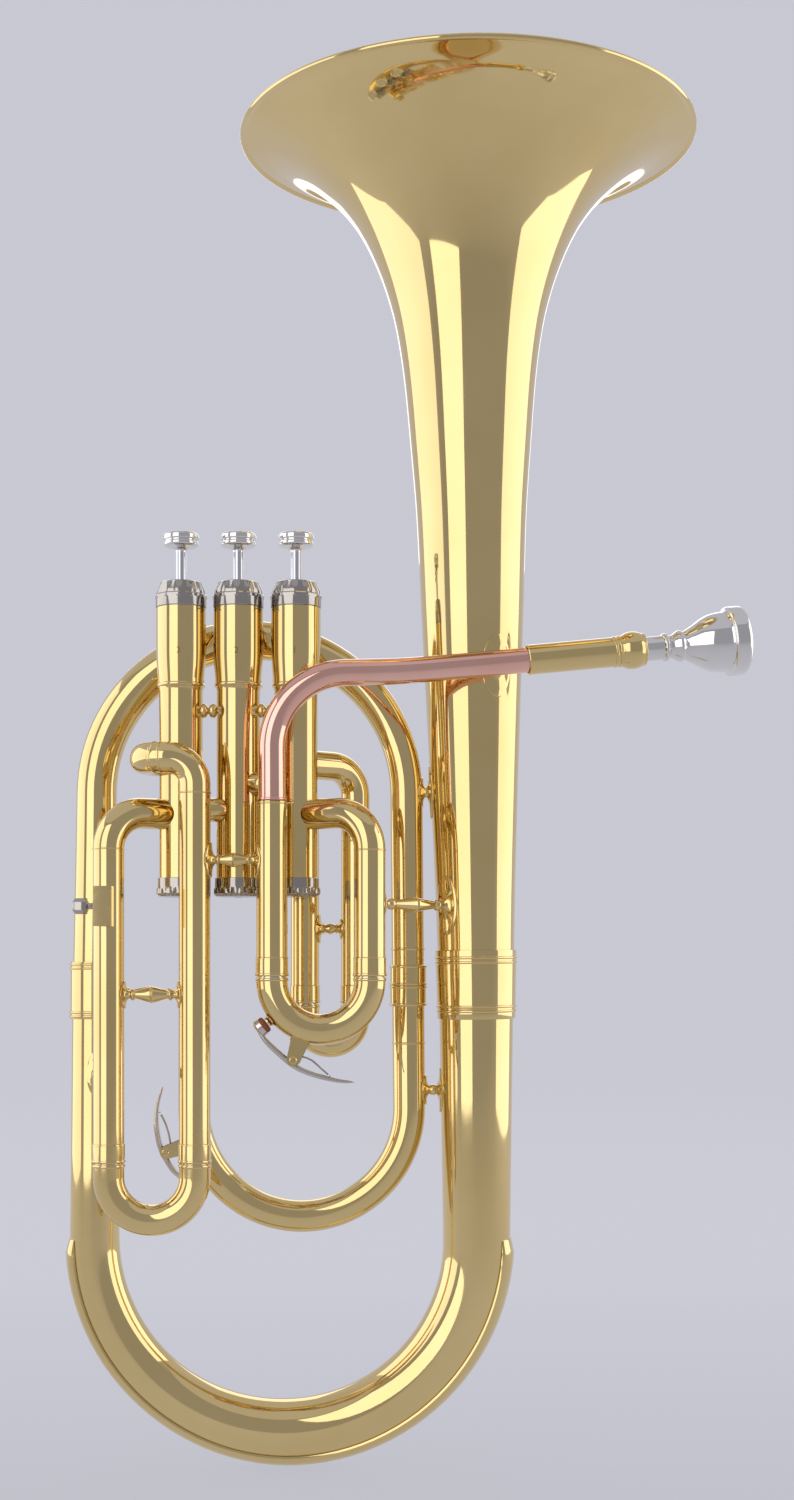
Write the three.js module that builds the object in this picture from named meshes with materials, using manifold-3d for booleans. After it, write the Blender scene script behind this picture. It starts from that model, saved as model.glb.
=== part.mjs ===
// Baritone horn with three top-action piston valves, bell upright, standing on its bottom bow.
// Millimetres. +Z is up, along the bell. +X is to the player's mouthpiece side of the picture plane.
// +Y points away from the side that carries the main and third slides.
// The origin is the lowest point of the bottom bow's guard.
import * as THREE from "three";
import { mergeVertices } from "three/addons/utils/BufferGeometryUtils.js";
import Module from "manifold-3d";

const wasm = await Module();
wasm.setup();

// ---------------------------------------------------------------- driving dimensions
const GAP = 0.3; // solder gap left between neighbouring pieces
const TUBE_WALL = 0.8;
const SIDES = 10; // facets round the smaller tubes

const BOW = { x: 101, z: 120.5, radius: 101 };
const JOINT_Z = 254; // height where both ends of the bottom bow meet their tubes
const BELL = { x: 100.5, lean: -0.0101, rimRadius: 119.2 };

const LARGE_ARC = { left: -99.3, right: 62.9, z: 355.2, radius: 81.1 };
const SMALL_ARC = { left: -48.6, right: 65.6, z: 189.3, radius: 57.1 };

const VALVE_X = [6.6, -23.1, -52.6];
const VALVE_Y = -26;
const CASING = { outer: 11.2, bore: 10.2, bottom: 303, ledge: 407, upperOuter: 12.8, upperBore: 11.9, top: 448.5 };
const PISTON = { radius: 10.05, bottom: 323, top: 393, barrelTop: 440, barrelRadius: 8.4 };
const STEM_RADIUS = 2.8;
const BUTTON = { bottom: 480, top: 487.8, radius: 9.2 };
const PORT_RADIUS = 5.7;

const FRONT_Y = -48; // plane of the main and third slides
const FIRST_Y = -4; // plane of the first slide, behind the valves
const MAIN = { left: -4.4, right: 44.9, outer: 7.9, ring: 259, bowZ: 257, leg: 58 };
const THIRD = { left: -86.8, right: -43.3, outer: 7.9, ring: 165, bowZ: 158, leg: 112 };
const FIRST = { left: 10.3, right: 36.8, outer: 7.5, ring: 244.5, bowZ: 237, leg: 66 };
const SECOND = { low: 342, high: 370, outer: 7.5, ring: 14, bowY: 18, leg: 22 };
const SLIDE_WALL = 0.65;
const STEP = 1; // length of the shoulder between a slide's inner leg and its bow
const SLIDE_FIT = 0.14; // running clearance of an inner slide leg in its outer tube

const PIPE_AIM = new THREE.Vector3(109, 17, 12.4).normalize(); // from leadpipe to mouthpiece
const PIPE_END = new THREE.Vector3(125, -37, 420.5);

// ---------------------------------------------------------------- solids
const vec = (x, y, z) => new THREE.Vector3(x, y, z);

// A closed three.js geometry as a manifold solid.
function solidFrom(geometry) {
  geometry.deleteAttribute("normal");
  geometry.deleteAttribute("uv");
  const merged = mergeVertices(geometry, 1e-4);
  return new wasm.Manifold(
    new wasm.Mesh({
      numProp: 3,
      vertProperties: merged.attributes.position.array,
      triVerts: new Uint32Array(merged.index.array),
    }),
  );
}

function geometryFrom(solid) {
  const { numProp, numVert, vertProperties, triVerts } = solid.simplify(0.002).getMesh();
  const points = new Float32Array(numVert * 3);
  for (let i = 0; i < numVert; i++) {
    points.set(vertProperties.subarray(i * numProp, i * numProp + 3), i * 3);
  }
  const indexed = new THREE.BufferGeometry();
  indexed.setAttribute("position", new THREE.BufferAttribute(points, 3));
  indexed.setIndex(new THREE.BufferAttribute(triVerts, 1));
  const faceted = indexed.toNonIndexed();
  faceted.computeVertexNormals();
  return faceted;
}

const unite = (first, ...others) => others.reduce((sum, next) => sum.add(next), first);
const cut = (first, ...others) => others.reduce((rest, next) => rest.subtract(next), first);

// A profile of [radius, z] points turned about the Z axis. It closes on itself.
function turned(profile, sides = 16) {
  const outline = profile.map(([r, z]) => new THREE.Vector2(r, z));
  if (THREE.ShapeUtils.area(outline) < 0) outline.reverse();
  outline.push(outline[0].clone());
  const geometry = new THREE.LatheGeometry(outline, sides);
  geometry.rotateX(Math.PI / 2);
  return solidFrom(geometry);
}

// A solid made along +Z from the origin, moved to start at one point and aim at another.
function aimed(solid, from, to) {
  const turn = new THREE.Quaternion().setFromUnitVectors(vec(0, 0, 1), to.clone().sub(from).normalize());
  const pose = new THREE.Matrix4().compose(from, turn, vec(1, 1, 1));
  return solid.transform(pose.elements);
}

// A flat outline of [x, z] points, as thick as its width along Y, centred on the plane y.
function plate(outline, y, width) {
  const shape = new THREE.Shape(outline.map(([x, z]) => new THREE.Vector2(x, z)));
  const geometry = new THREE.ExtrudeGeometry(shape, { depth: width, bevelEnabled: false });
  geometry.rotateX(Math.PI / 2);
  geometry.translate(0, y + width / 2, 0);
  return solidFrom(geometry);
}

// ---------------------------------------------------------------- bent tubes
// Stations along straight runs joined by bends, one bend radius for each inner corner.
function bentPath(corners, radii, stepAngle = 18) {
  const stations = [];
  const add = (point, tangent) => {
    const last = stations.at(-1);
    const step = last ? point.distanceTo(last.point) : 0;
    if (last && step < 0.01) return;
    stations.push({ point, tangent, s: last ? last.s + step : 0 });
  };
  add(corners[0], corners[1].clone().sub(corners[0]).normalize());
  corners.slice(1, -1).forEach((corner, i) => {
    const back = corners[i].clone().sub(corner).normalize();
    const ahead = corners[i + 2].clone().sub(corner).normalize();
    if (!radii[i]) {
      add(corner, ahead);
      return;
    }
    const inside = back.angleTo(ahead);
    const centre = back.clone().add(ahead).normalize().multiplyScalar(radii[i] / Math.sin(inside / 2)).add(corner);
    const start = back.clone().multiplyScalar(radii[i] / Math.tan(inside / 2)).add(corner).sub(centre);
    const axis = ahead.clone().cross(back).normalize();
    const steps = Math.max(2, Math.round(THREE.MathUtils.radToDeg(Math.PI - inside) / stepAngle));
    for (let k = 0; k <= steps; k++) {
      const arm = start.clone().applyAxisAngle(axis, ((Math.PI - inside) * k) / steps);
      add(arm.clone().add(centre), axis.clone().cross(arm).normalize());
    }
  });
  add(corners.at(-1), corners.at(-1).clone().sub(corners.at(-2)).normalize());
  return stations;
}

// Stations along a coil about the Z axis.
function coilPath(radius, low, high, turns, steps) {
  const rise = (high - low) / (turns * 2 * Math.PI);
  return Array.from({ length: turns * steps + 1 }, (_, i) => {
    const angle = (2 * Math.PI * i) / steps;
    const point = vec(radius * Math.cos(angle), radius * Math.sin(angle), low + rise * angle);
    const tangent = vec(-radius * Math.sin(angle), radius * Math.cos(angle), rise).normalize();
    return { point, tangent, s: angle * radius };
  });
}

// A value that runs straight between [distance, value] marks.
const along = (marks) => (s) => {
  const next = marks.findIndex(([at]) => at >= s);
  if (next < 0) return marks.at(-1)[1];
  if (next === 0) return marks[0][1];
  const [[s0, v0], [s1, v1]] = [marks[next - 1], marks[next]];
  return v0 + ((v1 - v0) * (s - s0)) / (s1 - s0);
};

const valueAt = (size, s) => (typeof size === "function" ? size(s) : size);

// A cross-section in polar terms, carried along a path: ring 2 is the outside and ring 1 the bore.
function carried(shape, path, outer, bore, sides) {
  const steps = path.length - 1;
  const options = { depth: steps, steps, bevelEnabled: false, curveSegments: sides / 2 };
  const geometry = new THREE.ExtrudeGeometry(shape, options);
  const frames = [];
  let normal = Math.abs(path[0].tangent.y) < 0.9 ? vec(0, 1, 0) : vec(1, 0, 0);
  path.forEach(({ tangent }) => {
    normal = normal.clone().addScaledVector(tangent, -normal.dot(tangent)).normalize();
    frames.push({ normal, binormal: tangent.clone().cross(normal) });
  });
  const points = geometry.attributes.position;
  for (let i = 0; i < points.count; i++) {
    const k = Math.round(points.getZ(i));
    const [x, y] = [points.getX(i), points.getY(i)];
    const ring = Math.hypot(x, y);
    const size = valueAt(ring > 1.5 ? outer : bore, path[k].s) / ring;
    const place = path[k].point.clone();
    place.addScaledVector(frames[k].normal, x * size).addScaledVector(frames[k].binormal, y * size);
    points.setXYZ(i, place.x, place.y, place.z);
  }
  return solidFrom(geometry);
}

// A round tube, or a round bar where it has no bore.
function tube(path, outer, bore = 0, sides = SIDES) {
  const shape = new THREE.Shape().absarc(0, 0, 2, 0, 2 * Math.PI, false);
  if (bore) shape.holes.push(new THREE.Path().absarc(0, 0, 1, 0, 2 * Math.PI, true));
  return carried(shape, path, outer, bore, sides);
}

const straight = (from, to) => bentPath([from, to], []);
const bar = (from, to, radius, sides = SIDES) => tube(straight(from, to), radius, 0, sides);

// ---------------------------------------------------------------- materials and assembly
function metal(color, roughness, metalness = 1) {
  return () => new THREE.MeshStandardMaterial({ color, roughness, metalness });
}
const brass = metal(0xd9ab45, 0.16);
const copper = metal(0xc98264, 0.2);
const nickel = metal(0xb9b1a4, 0.22);
const silver = metal(0xe4e4e6, 0.12);
const steel = metal(0xa9aaac, 0.3);
const cork = metal(0x8a3b26, 0.85, 0);

const horn = new THREE.Group();
horn.name = "baritone_horn";

function part(name, solid, material, parent = horn) {
  const mesh = new THREE.Mesh(geometryFrom(solid), material());
  mesh.name = name;
  parent.add(mesh);
  return mesh;
}

function groupAt(x, y, z, parent = horn) {
  const group = new THREE.Group();
  group.position.set(x, y, z);
  parent.add(group);
  return group;
}

// ---------------------------------------------------------------- bell and its ferrule
// Outside radius of the bell against height above its joint with the bottom bow.
const BELL_OUTLINE = [
  [19.9, 0.2], [22.8, 98], [25.1, 151], [28.9, 246], [32.5, 294], [37.6, 340], [43.6, 367], [51.6, 388.5],
  [63, 408], [77.6, 424.5], [94, 437], [107, 444],
];

function bellSolid() {
  const rim = [
    [BELL.rimRadius - 1, 446], [BELL.rimRadius + 0.8, 447.4], [BELL.rimRadius - 0.6, 449.4],
  ];
  const inside = BELL_OUTLINE.map(([r, z]) => [r - TUBE_WALL, z + (r > 60 ? 0.9 : 0)]).reverse();
  inside.at(-1)[1] = BELL_OUTLINE[0][1];
  return turned([...BELL_OUTLINE, ...rim, ...inside], 24);
}

// A sleeve with a raised band near each end, around the joint at z = 0.
function ferruleSolid(lowRadius, highRadius, low, high, ringHeight, sides) {
  const radiusAt = (z) => lowRadius + ((highRadius - lowRadius) * (z - low)) / (high - low);
  const outside = [[radiusAt(low) + 0.8, low]];
  [low + 4.8, high - 7.2].forEach((z) => {
    outside.push([radiusAt(z) + 0.9, z - 2], [radiusAt(z) + 0.9 + ringHeight, z - 1.2]);
    outside.push([radiusAt(z) + 0.9 + ringHeight, z + 1.2], [radiusAt(z) + 0.9, z + 2]);
  });
  outside.push([radiusAt(high) + 0.8, high]);
  return turned([...outside, [radiusAt(high) + 0.45, high], [radiusAt(low) + 0.45, low]], sides);
}

const bellGroup = groupAt(BELL.x, 0, JOINT_Z);
bellGroup.rotation.y = BELL.lean;
const bell = bellSolid();
part("bell", bell, brass, bellGroup);
part("bell_ferrule", ferruleSolid(19.8, 20.6, -17.5, 18.8, 0.8, 24), brass, bellGroup);

// ---------------------------------------------------------------- bottom bow, branches and guard
const bowPath = bentPath(
  [vec(-100.9, 0, JOINT_Z - GAP), vec(-BOW.x, 0, BOW.z - BOW.radius), vec(BOW.x, 0, BOW.z - BOW.radius),
    vec(BELL.x, 0, JOINT_Z - GAP)],
  [BOW.radius, BOW.radius],
);
const bowRadius = along([[0, 11.8], [133, 13], [212, 14], [292, 16.2], [371, 17], [450, 17.8], [584, 19.8]]);
const bow = tube(bowPath, bowRadius, (s) => bowRadius(s) - TUBE_WALL, 12);

// The guard is a strip round the outside of the bow. The sweep's first axis is the frame's Y axis,
// so the outside of the bow is a quarter turn on from it.
function guardSolid() {
  const arc = bowPath.filter(({ point }) => point.z <= BOW.z + 0.5);
  const half = THREE.MathUtils.degToRad(44);
  const lowest = arc[Math.floor(arc.length / 2)];
  const outward = (Math.PI / 2) * Math.sign(vec(0, 1, 0).cross(lowest.tangent).z);
  const shape = new THREE.Shape();
  shape.absarc(0, 0, 2, outward - half, outward + half, false);
  shape.absarc(0, 0, 1, outward + half, outward - half, true);
  return carried(shape, arc, (s) => bowRadius(s) + 2.5, (s) => bowRadius(s) + GAP, 6);
}

const branchPath = bentPath(
  [vec(-100.85, 0, JOINT_Z + GAP), vec(LARGE_ARC.left, 0, LARGE_ARC.z + LARGE_ARC.radius),
    vec(LARGE_ARC.right, 0, LARGE_ARC.z + LARGE_ARC.radius), vec(64.6, 0, JOINT_Z + GAP)],
  [LARGE_ARC.radius, LARGE_ARC.radius],
);
const branchRadius = along([[0, 11.7], [101, 10.6], [229, 10.2], [356, 8.6], [460, 8.6]]);
const largeBranch = tube(branchPath, branchRadius, (s) => branchRadius(s) - TUBE_WALL, 12);

const LOOP_TOP = 331; // where the small branch turns into the back of the third valve
const loopPath = bentPath(
  [vec(64.6, 0, JOINT_Z - GAP), vec(SMALL_ARC.right, 0, SMALL_ARC.z - SMALL_ARC.radius),
    vec(SMALL_ARC.left, 0, SMALL_ARC.z - SMALL_ARC.radius), vec(SMALL_ARC.left, 0, LOOP_TOP),
    vec(VALVE_X[2], VALVE_Y, LOOP_TOP)],
  [SMALL_ARC.radius, SMALL_ARC.radius, 12],
);
const loopRadius = along([[0, 8.6], [250, 8.3], [440, 7.9]]);

// ---------------------------------------------------------------- valves
const valveAxis = VALVE_X.map((x) => (z) => vec(x, VALVE_Y, z));
const casingCutter = (i) => bar(valveAxis[i](290), valveAxis[i](430), CASING.outer + GAP, 16);

// Ports of each valve: the point that the joining tube comes from, at the port's height.
const KNUCKLES = [
  { left: 2, right: 1, z: 344.3 },
  { left: 1, right: 0, z: 357.7 },
];
const knuckleBend = ({ left, right, z }) => vec((VALVE_X[left] + VALVE_X[right]) / 2, VALVE_Y - 8, z);
const [LOW_KNUCKLE, HIGH_KNUCKLE] = KNUCKLES.map(knuckleBend);
const PORTS = [
  [vec(MAIN.right, FRONT_Y, 342.2), HIGH_KNUCKLE, vec(FIRST.left, FIRST_Y, 341.5), vec(FIRST.right, FIRST_Y, 368.6)],
  [HIGH_KNUCKLE, LOW_KNUCKLE, vec(VALVE_X[1], 0, SECOND.high), vec(VALVE_X[1], 0, SECOND.low)],
  [LOW_KNUCKLE, vec(SMALL_ARC.left, 0, LOOP_TOP), vec(THIRD.left, FRONT_Y, 342.2), vec(-70, VALVE_Y, 369.9)],
];
const PRESS = 16; // how far a valve goes down

// The point at a given distance from a valve's axis, towards a port.
function portPoint(i, port, reach, lift = 0) {
  const axis = valveAxis[i](port.z);
  return port.clone().sub(axis).normalize().multiplyScalar(reach).add(axis).add(vec(0, 0, lift));
}

// Two small balls on a bar in front of the casings' axes, from one casing to just short of its neighbour.
function casingBrace(fromX, toX) {
  const forward = 7;
  const edge = Math.sqrt(CASING.outer ** 2 - forward ** 2);
  const span = Math.abs(toX - fromX);
  const middle = span / 2;
  const profile = [
    [0, edge - 1.2], [1.4, edge - 1.2], [1.4, edge + 1], [2.7, middle - 2.2], [1.5, middle], [2.7, middle + 2.2],
    [1.4, span - edge - 1.4], [1.4, span - edge - 0.9], [0, span - edge - 0.9],
  ];
  return aimed(turned(profile, 10), vec(fromX, VALVE_Y - forward, 395), vec(toX, VALVE_Y - forward, 395));
}

function casingSolid(i) {
  const { outer, bore, bottom, ledge, upperOuter, upperBore, top } = CASING;
  const wall = turned(
    [
      [outer, bottom], [outer, ledge], [upperOuter + 0.1, ledge + 1], [upperOuter + 0.1, ledge + 2.6],
      [outer + 0.8, ledge + 3.6], [upperOuter, ledge + 7], [upperOuter, top],
      [upperBore, top], [upperBore, ledge + 2], [bore, ledge + 1], [bore, bottom],
    ],
    14,
  );
  const guide = plate([[-12.2, ledge + 2], [12.2, ledge + 2], [12.2, ledge + 4.4], [-12.2, ledge + 4.4]], 0, 4);
  const bores = PORTS[i].map((port) => bar(valveAxis[i](port.z), portPoint(i, port, 15), PORT_RADIUS, 8));
  const inPlace = unite(wall, guide).translate([VALVE_X[i], VALVE_Y, 0]);
  return cut(inPlace, ...bores);
}

const topCap = () => turned(
  [
    [12.9, 448.8], [13.3, 449.4], [13.3, 452], [12.5, 452.8], [12.3, 457], [10.7, 461.9], [3.1, 461.9], [3.1, 460.6],
    [9.6, 460.4], [10.9, 456.6], [10.9, 444.6], [11.6, 444.6], [11.6, 448.8],
  ],
  14,
);
const bottomCap = () => turned(
  [
    [12, 309.7], [12, 304.9], [12.6, 304.2], [12.6, 301], [11.8, 299.8], [2, 299.8], [2, 301.2],
    [11.5, 301.2], [11.5, 309.7],
  ],
  14,
);

// The piston's body with its three air passages, and above it the slotted barrel that holds the spring.
function pistonSolid(i) {
  const { radius, bottom, top, barrelTop, barrelRadius } = PISTON;
  const body = turned(
    [
      [radius, bottom], [radius, top], [barrelRadius, top], [barrelRadius, barrelTop], [1.5, barrelTop],
      [1.5, barrelTop - 2], [barrelRadius - 0.9, barrelTop - 2], [barrelRadius - 0.9, top + 0.4], [2, top + 0.4],
      [2, bottom],
    ],
    14,
  );
  const slot = plate([[-12, top + 3], [12, top + 3], [12, barrelTop - 5], [-12, barrelTop - 5]], 0, 4.8);
  const [lineIn, lineOut, slideOut, slideIn] = PORTS[i];
  const runs = [[lineIn, lineOut, 0], [lineIn, slideOut, PRESS], [slideIn, lineOut, PRESS]];
  const passages = runs.map(([from, to, lift]) => {
    const passage = bar(portPoint(i, from, 12, lift), portPoint(i, to, 12, lift), PORT_RADIUS - 0.3, 8);
    return passage.translate([-VALVE_X[i], -VALVE_Y, 0]);
  });
  return cut(body, slot, ...passages);
}

const valveSpring = () => tube(coilPath(6.2, CASING.ledge + 5.2, PISTON.barrelTop - 2.9, 5, 8), 0.5, 0, 4);

const fingerButton = () => turned(
  [
    [STEM_RADIUS, PISTON.barrelTop + GAP], [STEM_RADIUS, 479.2], [4.4, BUTTON.bottom], [8.3, BUTTON.bottom],
    [BUTTON.radius, 481], [BUTTON.radius, 482.4], [8.5, 483.1], [8.5, 484], [BUTTON.radius, 484.7],
    [BUTTON.radius, 486.7], [8.3, BUTTON.top], [0, 487.2], [0, PISTON.barrelTop + GAP],
  ],
  14,
);

VALVE_X.forEach((x, i) => {
  const valve = groupAt(x, VALVE_Y, 0);
  const number = i + 1;
  let casing = casingSolid(i);
  if (i === 1) casing = unite(casing, casingBrace(x, VALVE_X[0]), casingBrace(x, VALVE_X[2]));
  part(`valve_casing_${number}`, casing.translate([-x, -VALVE_Y, 0]), brass, valve);
  part(`top_cap_${number}`, topCap(), nickel, valve);
  part(`bottom_cap_${number}`, bottomCap(), nickel, valve);
  part(`piston_${number}`, pistonSolid(i), nickel, valve);
  part(`valve_spring_${number}`, valveSpring(), steel, valve);
  part(`finger_button_${number}`, fingerButton(), nickel, valve);
});

KNUCKLES.forEach((knuckle, i) => {
  const { left, right, z } = knuckle;
  const path = bentPath([valveAxis[left](z), knuckleBend(knuckle), valveAxis[right](z)], [9], 20);
  const solid = cut(tube(path, PORT_RADIUS + 0.5, PORT_RADIUS - 0.2), casingCutter(left), casingCutter(right));
  part(["knuckle_2_3", "knuckle_1_2"][i], solid, brass);
});

part("bottom_bow", bow, brass);
part("bow_guard", guardSolid(), brass);
part("large_branch", largeBranch, brass);
const loop = tube(loopPath, loopRadius, (s) => loopRadius(s) - TUBE_WALL);

// ---------------------------------------------------------------- slides
const ringAt = (x, y, z, radius) => turned(
  [[radius - 0.4, -1.1], [radius + 0.7, -0.7], [radius + 0.7, 0.7], [radius - 0.4, 1.1]],
  SIDES,
).translate([x, y, z]);

// A fixed outer leg, with a ring at its mouth.
function outerLeg(corners, radii, radius, cutters) {
  const leg = tube(bentPath(corners, radii, 22.5), radius, radius - SLIDE_WALL);
  const foot = corners[0];
  return cut(unite(leg, ringAt(foot.x, foot.y, foot.z + 1.1, radius)), ...cutters);
}

// A moving slide: two inner legs joined by a bow as wide as the outer tubes.
function slideSolid({ left, right, outer, ring, bowZ, leg }, y) {
  const radius = (right - left) / 2;
  const low = bowZ - radius;
  const path = bentPath(
    [vec(left, y, ring + leg), vec(left, y, ring), vec(left, y, ring - STEP), vec(left, y, low), vec(right, y, low),
      vec(right, y, ring - STEP), vec(right, y, ring), vec(right, y, ring + leg)],
    [0, 0, radius, radius, 0, 0],
    22.5,
  );
  const total = path.at(-1).s;
  const inner = outer - SLIDE_WALL - SLIDE_FIT;
  const wide = (s) => s > leg + STEP / 2 && s < total - leg - STEP / 2;
  return tube(path, (s) => (wide(s) ? outer : inner), inner - SLIDE_WALL);
}

const leadStart = 347.4;
const straightLeg = turned(
  [
    [MAIN.outer, MAIN.ring + GAP], [MAIN.outer + 0.7, MAIN.ring + GAP + 0.5], [MAIN.outer + 0.7, MAIN.ring + 1.9],
    [MAIN.outer, MAIN.ring + 2.4], [MAIN.outer, leadStart], [MAIN.outer - SLIDE_WALL, leadStart],
    [MAIN.outer - SLIDE_WALL, MAIN.ring + GAP],
  ],
  SIDES,
);
part("main_outer_left", straightLeg.translate([MAIN.left, FRONT_Y, 0]), brass);
part("main_outer_right", outerLeg(
  [vec(MAIN.right, FRONT_Y, MAIN.ring + GAP), vec(MAIN.right, FRONT_Y, 342.2), valveAxis[0](342.2)], [19],
  MAIN.outer, [casingCutter(0)]), brass);

part("third_outer_left", outerLeg(
  [vec(THIRD.left, FRONT_Y, THIRD.ring + GAP), vec(THIRD.left, FRONT_Y, 342.2), valveAxis[2](342.2)], [18.7],
  THIRD.outer, [casingCutter(2)]), brass);
part("third_outer_right", outerLeg(
  [vec(THIRD.right, FRONT_Y, THIRD.ring + GAP), vec(THIRD.right, FRONT_Y, 369.9), vec(-69.5, FRONT_Y, 369.9),
    vec(-69.5, VALVE_Y, 369.9), valveAxis[2](369.9)],
  [14, 11, 10.9], THIRD.outer, [casingCutter(2)]), brass);

part("first_outer_left", outerLeg(
  [vec(FIRST.left, FIRST_Y, FIRST.ring + GAP), vec(FIRST.left, FIRST_Y, 341.5), valveAxis[0](341.5)], [9],
  FIRST.outer, [casingCutter(0)]), brass);
part("first_outer_right", outerLeg(
  [vec(FIRST.right, FIRST_Y, FIRST.ring + GAP), vec(FIRST.right, FIRST_Y, 368.6), valveAxis[0](368.6)], [15],
  FIRST.outer, [casingCutter(0)]), brass);

// The second slide lies flat behind its valve: it is made upright, then turned to point along +Y.
const LIE_FLAT = new THREE.Matrix4().makeBasis(vec(0, 0, -1), vec(1, 0, 0), vec(0, -1, 0));

function secondSlideSolid() {
  const { low, high, outer, ring, bowY, leg } = SECOND;
  const upright = slideSolid({ left: -high, right: -low, outer, ring: -ring, bowZ: -bowY, leg }, 0);
  const knob = turned([[0, 0], [2.2, 0], [2.2, 3.6], [4.6, 4.8], [4.6, 7.2], [3, 8.4], [0, 8.4]], 12);
  const middle = (low + high) / 2;
  const end = bowY + (high - low) / 2 + outer - 0.6;
  const pull = aimed(knob, vec(VALVE_X[1], end, middle), vec(VALVE_X[1], end + 9, middle));
  return unite(upright.transform(LIE_FLAT.elements).translate([VALVE_X[1], 0, 0]), pull);
}
[["upper", SECOND.high], ["lower", SECOND.low]].forEach(([where, z]) => {
  const run = straight(vec(VALVE_X[1], SECOND.ring - GAP, z), valveAxis[1](z));
  const leg = tube(run, SECOND.outer, SECOND.outer - SLIDE_WALL);
  const mouth = [SECOND.ring - 1.6, SECOND.ring].map((y) => vec(VALVE_X[1], y, z));
  const ring = aimed(ringAt(0, 0, 0, SECOND.outer), ...mouth);
  part(`second_outer_${where}`, cut(unite(leg, ring), casingCutter(1)), brass);
});
part("second_slide", secondSlideSolid(), brass);
part("first_slide", slideSolid(FIRST, FIRST_Y), brass);

// ---------------------------------------------------------------- water keys
// A key sits on a bow: angles are about the bow's centre, and distances are from the middle of its tube.
const polar = ({ centre, bend, y }, degrees, out) => {
  const angle = THREE.MathUtils.degToRad(degrees);
  return vec(centre[0] + (bend + out) * Math.cos(angle), y, centre[1] + (bend + out) * Math.sin(angle));
};

function strip(marks, y, width, thickness) {
  const spine = new THREE.SplineCurve(marks.map(([x, z]) => new THREE.Vector2(x, z)));
  const count = 8;
  const sides = [[], []];
  for (let i = 0; i <= count; i++) {
    const at = spine.getPoint(i / count);
    const tangent = spine.getTangent(i / count);
    const half = (thickness / 2) * (0.55 + 0.75 * Math.sin((Math.PI * i) / count));
    sides[0].push([at.x - tangent.y * half, at.y + tangent.x * half]);
    sides[1].push([at.x + tangent.y * half, at.y - tangent.x * half]);
  }
  return plate([...sides[0], ...sides[1].reverse()], y, width);
}

const MAIN_KEY = {
  centre: [20.25, 257], bend: 24.65, tube: 7.9, y: FRONT_Y, cork: 218, pivot: 251, out: 17.6,
  lever: [[-11.4, 232.6], [-4.2, 223.4], [5.2, 215.2], [21, 208.4], [37.5, 205.9]],
  wire: [[8.8, 220.2], [15, 218], [22.5, 213.4]],
};
const LOOP_KEY = {
  centre: [8.5, 189.3], bend: 57.1, tube: 8.4, y: 0, cork: 211.5, pivot: 198, out: 18.3,
  lever: [[-54, 150.8], [-60.4, 157.6], [-65.6, 166.8], [-68.6, 184], [-65, 200.4]],
  wire: [[-61.2, 168.5], [-62.2, 176], [-64.4, 184]],
};

// The nipple and the two-eared saddle are brazed to the tube that the key drains.
function withSaddle(solid, key) {
  const pivot = polar(key, key.pivot, key.out);
  const ears = [-3.6, 3.6].map((side) => {
    const foot = [-9, 9].map((step) => polar(key, key.pivot + (step * 24) / key.bend, key.tube - 1.5));
    const head = [70, -70].map((step) => polar(key, key.pivot, key.out).add(
      polar({ centre: [0, 0], bend: 0, y: 0 }, key.pivot + step, 2.3)));
    const outline = [...foot, head[0], polar(key, key.pivot, key.out + 2.2), head[1]];
    return plate(outline.map(({ x, z }) => [x, z]), key.y + side, 1);
  });
  const pin = bar(pivot.clone().setY(key.y - 4), pivot.clone().setY(key.y + 4), 1.1, 8);
  const nipple = bar(polar(key, key.cork, key.tube - 1), polar(key, key.cork, key.tube + 1.6), 2.6, 10);
  const drain = bar(polar(key, key.cork, 0), polar(key, key.cork, key.tube + 3), 1.3, 6);
  return cut(unite(solid, ...ears, pin, nipple), drain);
}

function leverSolid(key) {
  const pivot = polar(key, key.pivot, key.out);
  const sides = [-2.8, 2.8].map((side) => pivot.clone().setY(key.y + side));
  const barrel = bar(...sides, 2.3, 12);
  const cup = bar(polar(key, key.cork, key.tube + 5.6), polar(key, key.cork, key.tube + 7.6), 3.9, 12);
  const hole = bar(pivot.clone().setY(key.y - 5), pivot.clone().setY(key.y + 5), 1.35, 8);
  return cut(unite(strip(key.lever, key.y, 5, 1.9), barrel, cup), hole);
}

const corkSolid = (key) => bar(polar(key, key.cork, key.tube + 1.9), polar(key, key.cork, key.tube + 5.4), 3.3, 12);

// A hairpin of spring wire, both ends held beside the lever's barrel.
function wireSolid(key) {
  const [near, middle, far] = key.wire;
  const at = ([x, z], side) => vec(x, key.y + side, z);
  const path = bentPath([at(near, -1.9), at(middle, -1.9), at(far, -1.9), at(far, 1.9), at(middle, 1.9), at(near, 1.9)],
    [3, 1.2, 1.2, 3], 45);
  return tube(path, 0.4, 0, 4);
}

part("main_slide", withSaddle(slideSolid(MAIN, FRONT_Y), MAIN_KEY), brass);
part("third_slide", slideSolid(THIRD, FRONT_Y), brass);
part("small_branch", cut(withSaddle(loop, LOOP_KEY), casingCutter(2)), brass);
Object.entries({ main: MAIN_KEY, loop: LOOP_KEY }).forEach(([where, key]) => {
  part(`${where}_key_lever`, leverSolid(key), nickel);
  part(`${where}_key_cork`, corkSolid(key), cork);
  part(`${where}_key_spring`, wireSolid(key), steel);
});

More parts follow.
